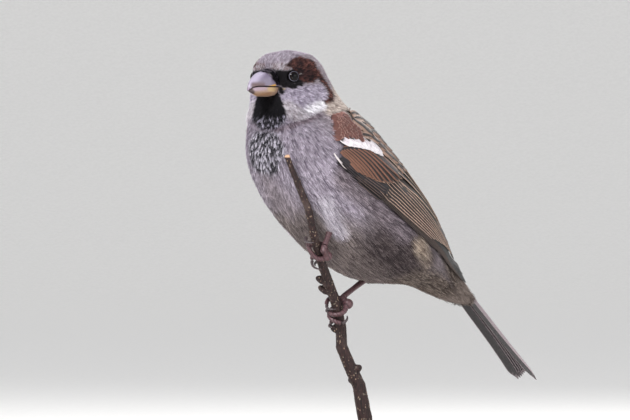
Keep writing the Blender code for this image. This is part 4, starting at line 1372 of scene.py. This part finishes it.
def wing_vanes(surface, rng):
    """All the vanes of the left wing."""
    kinds = [row[0] for row in WING_ROWS] + ["lesser_covert", "mantle", "alula_white"]
    vanes = Vanes()
    for kind, roots, tips, count, half, rise, steps, blunt in WING_ROWS:
        for k in range(count):
            f = k / (count - 1)
            root = curve_at(roots, f)
            tip = curve_at(tips, f) + rng.uniform(-0.006, 0.006, 2)
            step = f * 0.22
            # The foremost coverts come out from under the breast's feathers.
            sink = 0.8 * max(0.0, 1 - max(root[0], 0) / 0.08) if "covert" in kind else 0.0
            line, out = surface.line(root, tip, steps, (rise[0] + step - sink, rise[1] + step))
            shingled = kind != "median_covert"
            vanes.add(line, out, half * MM, kinds.index(kind), rng.random(), blunt=blunt, root_width=0.6,
                      camber=0.03 if shingled else 0.10, roll=0.20 if shingled else 0.0)
    # One white-edged feather lies along the wing's front lower edge.
    line, out = surface.line(np.array((-0.01, 0.04)), np.array((0.09, -0.045)), 7, (0.9, 1.0))
    vanes.add(line, out, 0.32 * MM, kinds.index("alula_white"), 0.7, blunt=0.7)
    # Scapulars: streaked feathers from the back that lie over the wing's upper edge.
    for row in range(SCAPULAR_ROWS):
        for k in range(SCAPULAR_COUNT):
            s = 0.47 - row * 0.085
            t = 0.53 + 0.02 * (SCAPULAR_ROWS - 1 - row) + 0.42 * k / (SCAPULAR_COUNT - 1)
            tip = np.array((s, t)) + rng.uniform(-0.012, 0.012, 2)
            root = np.array((max(s - 0.21, 0.13), t - 0.02))
            line, out = surface.line(root, tip, 9, (0.20, 0.90 + 0.05 * row))
            vanes.add(line, out, 1.15 * MM, kinds.index("mantle"), rng.random(), blunt=0.7, camber=0.14,
                      columns=4, thickness=0.08 * MM)
    # Lesser coverts: small overlapping scales over the shoulder.
    for row in range(LESSER_ROWS):
        for k in range(LESSER_COUNT):
            t = 0.51 + 0.39 * (k + 0.5 * (row % 2)) / (LESSER_COUNT - 0.5)
            s = (0.165 - 0.08 * float(ease(t, 0.54, 0.86))) * (1 - row / (LESSER_ROWS + 0.5))
            root = np.array((s - 0.05, t + 0.02))
            tip = np.array((s, t)) + rng.uniform(-0.009, 0.009, 2)
            line, out = surface.line(root, tip, 6, (0.60 - 0.20 * row, 1.15 - 0.10 * row))
            vanes.add(line, out, 1.6 * MM, kinds.index("lesser_covert"), rng.random(), blunt=0.45,
                      camber=0.16, columns=4, thickness=0.07 * MM)
    return vanes, kinds


def back_spot(tree, place, turn):
    """Surface and outward direction at millimetres down the spine and a turn round it from the back."""
    line = metres(SPINE)
    along = place * MM
    for a, b in zip(line[:-1], line[1:]):
        length = np.linalg.norm(b - a)
        if along <= length:
            break
        along -= length
    near = a + (b - a) * along / length
    lateral = np.cross((b - a) / length, (0.0, 1.0, 0.0))
    lateral = lateral if lateral[0] > 0 else -lateral
    ray = lateral * math.cos(turn) - np.array((0, 1.0, 0)) * math.sin(turn)
    return surface_under(tree, near, ray, 0.4) or (near + ray * 18 * MM, ray)


def mantle_vanes(rng):
    """Streaked feathers of the back and the shoulders, in rows from the rump forwards."""
    wings = [part + side for part in ("wing_coverts_", "wing_tertials_") for side in SIDES]
    tree = solid_tree(["trunk", "neck", "rump"] + wings)
    vanes = Vanes()
    for row in range(MANTLE_ROWS):
        place = MANTLE_FROM - row * MANTLE_STEP
        wide = math.radians(58 - 3.0 * max(0, 5 - row) - 1.6 * max(0, row - 6))
        for k in range(MANTLE_COUNT):
            turn = wide * (2 * k / (MANTLE_COUNT - 1) - 1)
            turn += rng.uniform(-0.03, 0.03)
            spots, outs = [], []
            for f in np.linspace(0, 1, 7):
                spot, out = back_spot(tree, place - MANTLE_REACH * (1 - f), turn * (1.04 - 0.04 * f))
                spots.append(spot + out * (0.25 + 0.85 * f + 0.02 * row) * MM)
                outs.append(out)
            vanes.add(np.array(spots), np.array(outs), 2.1 * MM, 0, rng.random(), blunt=0.6, camber=0.2,
                      columns=4, thickness=0.08 * MM)
    return vanes


class SPARROW_OT_wings(bpy.types.Operator):
    """Rows of flight feathers and coverts on both folded wings, and the streaked mantle between them"""

    bl_idname = "sparrow.wings"
    bl_label = "Wings and mantle"

    def execute(self, context):
        rng = np.random.default_rng(21)
        vanes, kinds = wing_vanes(WingSurface(), rng)
        finishes = [vane_material(kind) for kind in kinds]
        for side in SIDES:
            name = "wing_feathers_" + side
            nodes = ["wing_" + part + "_" + side for part in ("coverts", "tertials", "primaries")]
            show(name, vanes.mesh(name, side == "right"), finishes, nodes)
        mantle = mantle_vanes(rng)
        finish = finishes[kinds.index("mantle")]
        show("mantle_feathers", mantle.mesh("mantle_feathers"), [finish])
        return {"FINISHED"}


class SPARROW_OT_tail(bpy.types.Operator):
    """Twelve tail feathers in a narrow notched fan"""

    bl_idname = "sparrow.tail"
    bl_label = "Tail"

    def execute(self, context):
        rng = np.random.default_rng(31)
        axis = np.array((math.cos(TAIL_PITCH), 0, -math.sin(TAIL_PITCH)))
        over = np.array((math.sin(TAIL_PITCH), 0, math.cos(TAIL_PITCH)))
        vanes = Vanes()
        for pair in range(5, -1, -1):
            share = pair / 5
            for sign in (-1, 1):
                f = np.linspace(0, 1, TAIL_STEPS)
                end = TAIL_TO - 2.4 * (1 - share) ** 1.3 - 0.3 * share
                along = TAIL_FROM + (end - TAIL_FROM) * f
                open_out = 0.50 + 0.62 * f ** 3.2
                beside = sign * (0.55 + 3.55 * share) * open_out
                height = 0.70 - 1.6 * share ** 1.4 + (0.06 if sign > 0 else 0.0)
                rows = np.outer(along, axis) + np.outer(np.full(TAIL_STEPS, height), over)
                rows[:, 1] += beside
                line = metres(rows + np.array(TAIL_ROOT))
                out = np.tile(over + np.array((0, sign * 0.16 * share, 0)), (TAIL_STEPS, 1))
                half = (1.95 + 0.15 * (1 - share)) * MM
                vanes.add(line, out, half, 0, rng.random(), thickness=0.22 * MM, camber=0.03,
                          blunt=0.925, root_width=0.62, skew=-0.12 * sign * share)
        mesh = vanes.mesh("tail_feathers")
        show("tail_feathers", mesh, [vane_material("tail")], ("tail",))
        return {"FINISHED"}


class SPARROW_OT_eyes(bpy.types.Operator):
    """Glossy dark eyes with brown irises and black pupils"""

    bl_idname = "sparrow.eyes"
    bl_label = "Eyes"

    def execute(self, context):
        for side in SIDES:
            middle = np.array(centre("eye_" + side))
            axis, up, across = eye_axes(side)
            points = []
            for i in range(EYE_RINGS + 1):
                lean = math.radians(4 + 100 * i / EYE_RINGS) if i else 0.0
                # The cornea swells a little over the pupil.
                size = EYE_RADIUS * (1.0 + 0.035 * math.exp(-(lean / 0.5) ** 2))
                for k in range(EYE_TURNS if i else 1):
                    turn = 2 * math.pi * k / EYE_TURNS
                    ring = math.cos(turn) * across + math.sin(turn) * up
                    points.append(middle + size * (math.cos(lean) * axis + math.sin(lean) * ring))
            points.append(middle - axis * EYE_RADIUS * 0.4)
            last = 1 + (EYE_RINGS - 1) * EYE_TURNS
            faces = band(EYE_RINGS, EYE_TURNS, 1)
            for k in range(EYE_TURNS):
                after = (k + 1) % EYE_TURNS
                faces += [(0, 1 + after, 1 + k), (last + k, last + after, len(points) - 1)]
            mesh = outward_mesh("eyeball_" + side, points, faces)
            material, shader, inputs = new_material("eye_gloss_" + side, 0.05, Specular_IOR_Level=0.16,
                                                    IOR=1.42)
            place = shader.vector("SUBTRACT", object_place(shader), tuple(middle))
            depth = shader.vector("DOT_PRODUCT", place, tuple(axis))
            reach = shader.math("DIVIDE", depth, EYE_RADIUS)
            pupil = shader.ramp(reach, 0.875, 0.90)
            fibre = shader.noise(place, 4200.0, 3.0)
            iris = shader.mix(fibre, paint(14, 10, 10), paint(24, 16, 15))
            rim = shader.ramp(reach, 0.70, 0.80)
            tone = shader.mix(rim, paint(9, 7, 8), iris)
            shader.put(inputs["Base Color"], shader.mix(pupil, tone, paint(7, 6, 8)))
            show("eyeball_" + side, mesh, [material], ("eye_" + side,))
        return {"FINISHED"}


# Each half of the bill: its name, CAD node, horn colours light and dark, and strokes on the horn
# (from, to, radius, softness and colour).
BILL_HALVES = (
    ("upper_bill", "bill_upper", (112, 103, 122), (86, 77, 94), (
        # The ridge: a paler horn tone with a painted highlight along it.
        ((14.2, 0, -2.2), (6.5, 0, 1.6), 1.0, 1.5, (150, 141, 160)),
        ((13.0, 1.2, -2.9), (9.8, 2.9, -2.8), 0.3, 1.3, (78, 56, 60)),
        ((8.0, 3.5, -3.2), (5.0, 4.0, -3.0), 0.2, 0.4, (160, 124, 74)),
        ((5.9, 3.9, -3.0), (4.8, 4.1, -2.7), 0.2, 0.4, (186, 138, 50)),
        ((14.8, 0, -4.2), (14.8, 0, -4.2), 0.5, 0.8, (112, 94, 114)))),
    ("lower_bill", "bill_lower", (150, 124, 106), (122, 98, 86), (
        ((12.4, 1.4, -3.9), (7.0, 4.0, -3.8), 0.5, 0.9, (148, 128, 140)),
        ((11.6, 0, -5.7), (6.0, 2.6, -5.7), 0.5, 0.7, (128, 98, 74)),
        ((14.4, 0, -4.2), (12.7, 0, -5.2), 0.7, 0.8, (58, 40, 42)),
        ((7.0, 3.7, -4.0), (4.8, 4.3, -4.4), 0.6, 0.9, (164, 138, 94)))),
)


class SPARROW_OT_bill(bpy.types.Operator):
    """Stout seed-eater's bill with nostrils, a pale gape edge and a ridged culmen"""

    bl_idname = "sparrow.bill"
    bl_label = "Bill"

    def execute(self, context):
        for name, node, base, deep, tones in BILL_HALVES:
            mesh = refined(name, [node], BILL_VOXEL, 0.0, 10)
            points = coords(mesh)
            out = normals(mesh)
            marks = head_marks(points)
            side = np.abs(marks[:, 1])
            # The bill bows down towards its tip.
            points[:, 2] -= 0.5 * MM * ease(marks[:, 0], 10, 14.8)
            nostril = np.exp(-(((marks[:, 0] - 5.6) / 0.55) ** 2 + ((side - 2.3) / 0.6) ** 2
                               + ((marks[:, 2] - 0.8) / 0.35) ** 2))
            grain = np.array([noise.noise(Vector(p) * 900) for p in points])
            shape = grain * 0.025 - nostril * (0.32 if node == "bill_upper" else 0)
            move_to(mesh, points + out * (shape * MM)[:, None])
            material, shader, inputs = new_material(name + "_horn", 0.36, Coat_Weight=0.15,
                                                    Coat_Roughness=0.25)
            spot = shader.mirrored(head_place(shader, object_place(shader)))
            fibre = shader.noise(shader.vector("MULTIPLY", spot, (0.5, 3.0, 3.0)), 1.6, 3.0)
            tone = shader.mix(fibre, paint(*base), paint(*deep))
            for start, end, radius, softness, colour in tones:
                mask = stroke_mask(shader, spot, start, end, radius, softness)
                tone = shader.mix(mask, tone, paint(*colour))
            shader.put(inputs["Base Color"], tone)
            shader.put(inputs["Roughness"], shader.ramp(fibre, 0.3, 0.7, 0.30, 0.46))
            bump(shader, inputs, fibre, 0.00006)
            show(name, mesh, [material], (node,))
        return {"FINISHED"}


def leg_material():
    """Scaled skin of the shanks and toes: plates ringed round each limb."""
    material, shader, inputs = new_material("scaled_leg", 0.48, Specular_IOR_Level=0.4)
    place = object_place(shader)
    along = shader.attribute("plate")
    stray = shader.noise(place, 900.0, 2.0)
    step = shader.plus(along, shader.times(stray, 0.18))
    wave = shader.math("FRACT", step)
    gap = shader.math("MAXIMUM", shader.ramp(wave, 0.0, 0.16, 1.0, 0.0), shader.ramp(wave, 0.88, 1.0))
    skin = shader.mix(shader.noise(place, 2600.0, 3.0), paint(94, 64, 67), paint(56, 37, 44))
    shader.put(inputs["Base Color"], shader.mix(gap, skin, paint(46, 29, 33)))
    bump(shader, inputs, shader.minus(1.0, gap), 0.00010, 0.9)
    return material


class SPARROW_OT_legs(bpy.types.Operator):
    """Scaled shanks and gripping toes, with long horn claws"""

    bl_idname = "sparrow.legs"
    bl_label = "Legs and claws"

    def execute(self, context):
        scaled = leg_material()
        claw = grained_material("claw_horn", 0.42, 1500.0, 3.0, ((74, 63, 65), (42, 34, 38)), 0.00003,
                                Specular_IOR_Level=0.35)
        for side in SIDES:
            middle = np.array(centre("foot_" + side))
            for name, node in (("scaled_shank_", "shank_"), ("scaled_toes_", "foot_")):
                mesh = refined(name + side, [node + side], LEG_VOXEL, 0.02 * MM, 3)
                points = coords(mesh)
                if node == "shank_":
                    low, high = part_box(node + side)
                    run = unit(np.array((high.x - low.x, 0, high.z - low.z)))
                    plate = (points - np.array(low)) @ run / PLATE
                else:
                    reach = points - middle
                    turn = np.arctan2(reach[:, 1], reach[:, 0])
                    plate = turn * 2.6 + points[:, 2] / (2.4 * MM)
                wave = np.mod(plate, 1)
                ridge = np.minimum(np.minimum(wave, 1 - wave) / 0.18, 1) - 1
                move_to(mesh, points + normals(mesh) * (ridge * 0.06 * MM)[:, None])
                write_value(mesh, "plate", plate)
                show(name + side, mesh, [scaled], (node + side,))
            nodes = ["claw_" + toe + "_" + side for toe in ("inner", "middle", "outer", "hind")]
            mesh = refined("horn_claws_" + side, nodes, CLAW_VOXEL, 0.05 * MM, 1)
            show("horn_claws_" + side, mesh, [claw], nodes)
        return {"FINISHED"}


def nodes_builder(name, inputs):
    """A geometry tree with named inputs: the tree, its builder, its input and its output sockets."""
    tree = bpy.data.node_groups.new(name, "GeometryNodeTree")
    tree.interface.new_socket(name="Geometry", in_out="INPUT", socket_type="NodeSocketGeometry")
    for label, kind, start in inputs:
        socket = tree.interface.new_socket(name=label, in_out="INPUT", socket_type=kind)
        if start is not None:
            socket.default_value = start
    tree.interface.new_socket(name="Geometry", in_out="OUTPUT", socket_type="NodeSocketGeometry")
    given = tree.nodes.new("NodeGroupInput").outputs
    made = tree.nodes.new("NodeGroupOutput").inputs
    return tree, Shader(tree), given, made


def grown(name, mesh, tree, values):
    """The mesh that a geometry tree makes from another mesh, its inputs set by socket before it is read."""
    obj = bpy.data.objects.new(name + "_source", mesh)
    bpy.context.scene.collection.objects.link(obj)
    modifier = obj.modifiers.new("grown", "NODES")
    modifier.node_group = tree
    for item in tree.interface.items_tree:
        if item.item_type == "SOCKET" and item.in_out == "INPUT" and item.name in values:
            modifier[item.identifier] = values[item.name]
    bpy.context.view_layer.update()
    depsgraph = bpy.context.evaluated_depsgraph_get()
    made = bpy.data.meshes.new_from_object(obj.evaluated_get(depsgraph))
    made.name = name
    obj.modifiers.remove(modifier)
    bpy.data.objects.remove(obj)
    return made


def pores_tree():
    """Raised pores scattered over the bark, each an oval blister lying along the twig."""
    tree, shader, given, made = nodes_builder("bark_pores", (
        ("Density", "NodeSocketFloat", 200000.0), ("Size", "NodeSocketFloat", 0.0003),
        ("Seed", "NodeSocketInt", 1), ("Finish", "NodeSocketMaterial", None)))
    spread = shader.node("GeometryNodeDistributePointsOnFaces", {
        "Mesh": given["Geometry"], "Density": given["Density"], "Seed": given["Seed"]})
    blister = shader.node("GeometryNodeMeshIcoSphere", {"Radius": given["Size"], "Subdivisions": 2})
    flat = shader.node("GeometryNodeTransform", {
        "Geometry": blister.outputs["Mesh"], "Scale": (0.55, 1.0, 0.35)})
    size = shader.node("FunctionNodeRandomValue", {"Seed": 3}, data_type="FLOAT")
    for socket, value in (("Min", 0.45), ("Max", 1.15)):
        [s for s in size.inputs if s.name == socket and s.type == "VALUE"][0].default_value = value
    placed = shader.node("GeometryNodeInstanceOnPoints", {
        "Points": spread.outputs["Points"], "Instance": flat.outputs["Geometry"],
        "Rotation": spread.outputs["Rotation"],
        "Scale": [s for s in size.outputs if s.type == "VALUE"][0]})
    real = shader.node("GeometryNodeRealizeInstances", {"Geometry": placed.outputs["Instances"]})
    soft = shader.node("GeometryNodeSetShadeSmooth", {"Geometry": real.outputs["Geometry"]})
    done = shader.node("GeometryNodeSetMaterial", {
        "Geometry": soft.outputs["Geometry"], "Material": given["Finish"]})
    shader.put(made["Geometry"], done.outputs["Geometry"])
    return tree


class SPARROW_OT_twig(bpy.types.Operator):
    """Dark ridged twig with buds, raised pores and a cut tip"""

    bl_idname = "sparrow.twig"
    bl_label = "Twig"

    def execute(self, context):
        perch = context.scene.sparrow_perch
        mesh = refined("bark", ["perch_twig"], BARK_VOXEL, 0.0, 3)
        points = coords(mesh)
        out = normals(mesh)
        # Ridges along the twig, and knots as broad as they are long.
        rough = np.array([noise.noise(Vector((x * 1500, y * 1500, z * 190))) for x, y, z in points])
        knots = np.array([noise.noise(Vector(p) * 420 + Vector((7, 3, 1))) for p in points])
        relief = (rough - 0.35) * perch.bark + knots * 0.8 * perch.bark
        move_to(mesh, points + out * relief[:, None])
        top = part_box("perch_twig")[1].z
        material, shader, inputs = new_material("bark", 0.68, Specular_IOR_Level=0.3)
        place = object_place(shader)
        grain = shader.noise(shader.vector("MULTIPLY", place, (1.0, 1.0, 0.16)), 2600.0, 4.0, 0.6)
        patch = shader.noise(place, 260.0, 3.0)
        tone = shader.mix(shader.ramp(grain, 0.3, 0.7), paint(17, 10, 11), paint(52, 33, 32))
        tone = shader.mix(shader.ramp(patch, 0.5, 0.72, 0.0, 0.55), tone, paint(76, 62, 58))
        lichen = shader.ramp(shader.noise(place, 1150.0, 2.0), 0.66, 0.72, 0.0, 0.7)
        tone = shader.mix(lichen, tone, paint(132, 122, 108))
        height = shader.plus(shader.split(place)[2], shader.times(patch, 0.0012))
        cut = shader.ramp(height, top - 0.45 * MM, top - 0.15 * MM)
        tone = shader.mix(cut, tone, paint(186, 150, 122))
        shader.put(inputs["Base Color"], tone)
        bump(shader, inputs, grain, 0.00012)
        show("bark", mesh, [material], ("perch_twig",))
        pore = grained_material("pore_cork", 0.8, 5000.0, 2.0, ((150, 128, 108), (96, 76, 66)), 0.00005)
        pores = grown("bark_pores", mesh.copy(), pores_tree(), {
            "Density": perch.lenticels, "Size": perch.pore_size, "Seed": perch.seed, "Finish": pore})
        show("bark_pores", pores, [] if pores.materials else [pore])
        return {"FINISHED"}


def turned(name, profile, sides, middle):
    """A closed form turned round an upright axis from (radius, height) points, in metres."""
    points = ring_points(profile, sides, middle)
    caps = [tuple(reversed(range(sides))), tuple(range(len(points) - sides, len(points)))]
    return outward_mesh(name, points, band(len(profile), sides) + caps, flat_caps=True)


class SPARROW_OT_stand(bpy.types.Operator):
    """Turned wooden base and a brushed metal rod with a cup that holds the twig"""

    bl_idname = "sparrow.stand"
    bl_label = "Display stand"

    def execute(self, context):
        low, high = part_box("stand_base")
        radius, height = (high.x - low.x) / 2, high.z - low.z
        foot = 1.4 * MM
        edge = [(radius * 0.2, 0.0), (radius - foot, 0.0)]
        edge += arc((radius - foot, foot), (foot, foot), -90, 0, 7)
        edge += [(radius, 3.6 * MM), (radius - 0.9 * MM, 4.1 * MM), (radius - 0.9 * MM, 4.7 * MM)]
        edge += arc((radius - 6.0 * MM, height - 6.4 * MM), (5.6 * MM, 5.4 * MM), 0, 90, 10)
        edge += [(radius - 6.6 * MM, height - 1.0 * MM), (radius - 7.2 * MM, height),
                 (radius * 0.5, height), (radius * 0.2, height)]
        mesh = turned("turned_base", edge, 128, centre("stand_base"))
        wood, shader, inputs = new_material("oiled_wood", 0.42, Coat_Weight=0.25, Coat_Roughness=0.25)
        place = object_place(shader)
        warp = shader.noise(place, 24.0, 2.0)
        stretched = shader.vector("MULTIPLY", place, (1.0, 0.14, 1.0))
        rings = shader.plus(shader.noise(stretched, 260.0, 4.0), shader.times(warp, 0.6))
        figure = shader.math("FRACT", shader.times(rings, 4.0))
        tone = shader.mix(shader.ramp(figure, 0.0, 1.0), paint(92, 58, 38), paint(136, 92, 60))
        pores = shader.ramp(shader.noise(shader.vector("MULTIPLY", place, (1.0, 0.05, 1.0)), 2600.0, 2.0),
                            0.62, 0.72)
        shader.put(inputs["Base Color"], shader.mix(pores, tone, paint(52, 32, 22)))
        shader.put(inputs["Roughness"], shader.ramp(figure, 0.0, 1.0, 0.36, 0.5))
        bump(shader, inputs, shader.minus(figure, pores), 0.00004)
        show("turned_base", mesh, [wood], ("stand_base",))
        low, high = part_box("stand_rod")
        middle = (low + high) / 2
        wide, foot, lip = (high.x - low.x) / 2, low.z, high.z
        thin, cup = 2.1 * MM, 4.0 * MM
        rod = [(wide * 0.2, foot), (wide, foot), (wide, foot + 0.7 * MM),
               (wide - 0.5 * MM, foot + 1.2 * MM), (thin + 0.8 * MM, foot + 1.5 * MM),
               (thin, foot + 2.2 * MM)]
        rod += [(thin, foot + (2.6 + 0.5 * k) * MM) for k in range(5)]
        rod += [(thin, lip - 9.6 * MM), (thin + 0.7 * MM, lip - 9.0 * MM), (cup - 0.3 * MM, lip - 8.6 * MM),
                (cup, lip - 8.2 * MM), (cup, lip - 6.0 * MM), (cup - 0.25 * MM, lip - 5.8 * MM),
                (cup - 0.25 * MM, lip - 5.4 * MM), (cup, lip - 5.2 * MM), (cup, lip - 0.5 * MM),
                (cup - 0.4 * MM, lip), (cup - 1.2 * MM, lip), (cup - 1.4 * MM, lip - 1.2 * MM)]
        metal, shader, inputs = new_material("brushed_brass", 0.3, Metallic=1.0)
        place = object_place(shader)
        brushed = shader.noise(shader.vector("MULTIPLY", place, (1.0, 1.0, 16.0)), 700.0, 3.0)
        shader.put(inputs["Base Color"], shader.mix(brushed, paint(150, 126, 92), paint(190, 164, 124)))
        shader.put(inputs["Roughness"], shader.ramp(brushed, 0.3, 0.7, 0.24, 0.42))
        bump(shader, inputs, brushed, 0.00002)
        show("brushed_rod", turned("brushed_rod", rod, 64, middle), [metal], ("stand_rod",))
        return {"FINISHED"}


class SPARROW_PT_model(bpy.types.Panel):
    """Lists the pieces of the sparrow model"""

    bl_label = "Sparrow model"
    bl_idname = "SPARROW_PT_model"
    bl_space_type = "VIEW_3D"
    bl_region_type = "UI"
    bl_category = "Sparrow"

    def draw(self, context):
        for item in PIECES:
            self.layout.operator(item.bl_idname)
        for settings in (context.scene.sparrow_plumage, context.scene.sparrow_perch,
                         context.scene.sparrow_studio):
            box = self.layout.box()
            for name in settings.bl_rna.properties.keys():
                if name not in ("rna_type", "name"):
                    box.prop(settings, name)


PIECES = (SPARROW_OT_stage, SPARROW_OT_plumage, SPARROW_OT_wings, SPARROW_OT_tail, SPARROW_OT_eyes,
          SPARROW_OT_bill, SPARROW_OT_legs, SPARROW_OT_twig, SPARROW_OT_stand)
CLASSES = (SparrowPlumage, SparrowPerch, SparrowStudio, *PIECES, SPARROW_PT_model)


def register():
    """Adds the settings, the operators and the panel."""
    for item in CLASSES:
        bpy.utils.register_class(item)
    bpy.types.Scene.sparrow_plumage = bpy.props.PointerProperty(type=SparrowPlumage)
    bpy.types.Scene.sparrow_perch = bpy.props.PointerProperty(type=SparrowPerch)
    bpy.types.Scene.sparrow_studio = bpy.props.PointerProperty(type=SparrowStudio)


def unregister():
    """Takes them away again."""
    del bpy.types.Scene.sparrow_studio
    del bpy.types.Scene.sparrow_perch
    del bpy.types.Scene.sparrow_plumage
    for item in reversed(CLASSES):
        bpy.utils.unregister_class(item)


def main():
    """Builds the model piece by piece."""
    register()
    build_stroke_group()
    build_markings_group()
    build_vane_group()
    bpy.ops.sparrow.stage()
    bpy.ops.sparrow.plumage()
    bpy.ops.sparrow.wings()
    bpy.ops.sparrow.tail()
    bpy.ops.sparrow.eyes()
    bpy.ops.sparrow.bill()
    bpy.ops.sparrow.legs()
    bpy.ops.sparrow.twig()
    bpy.ops.sparrow.stand()


if __name__ == "__main__":
    main()
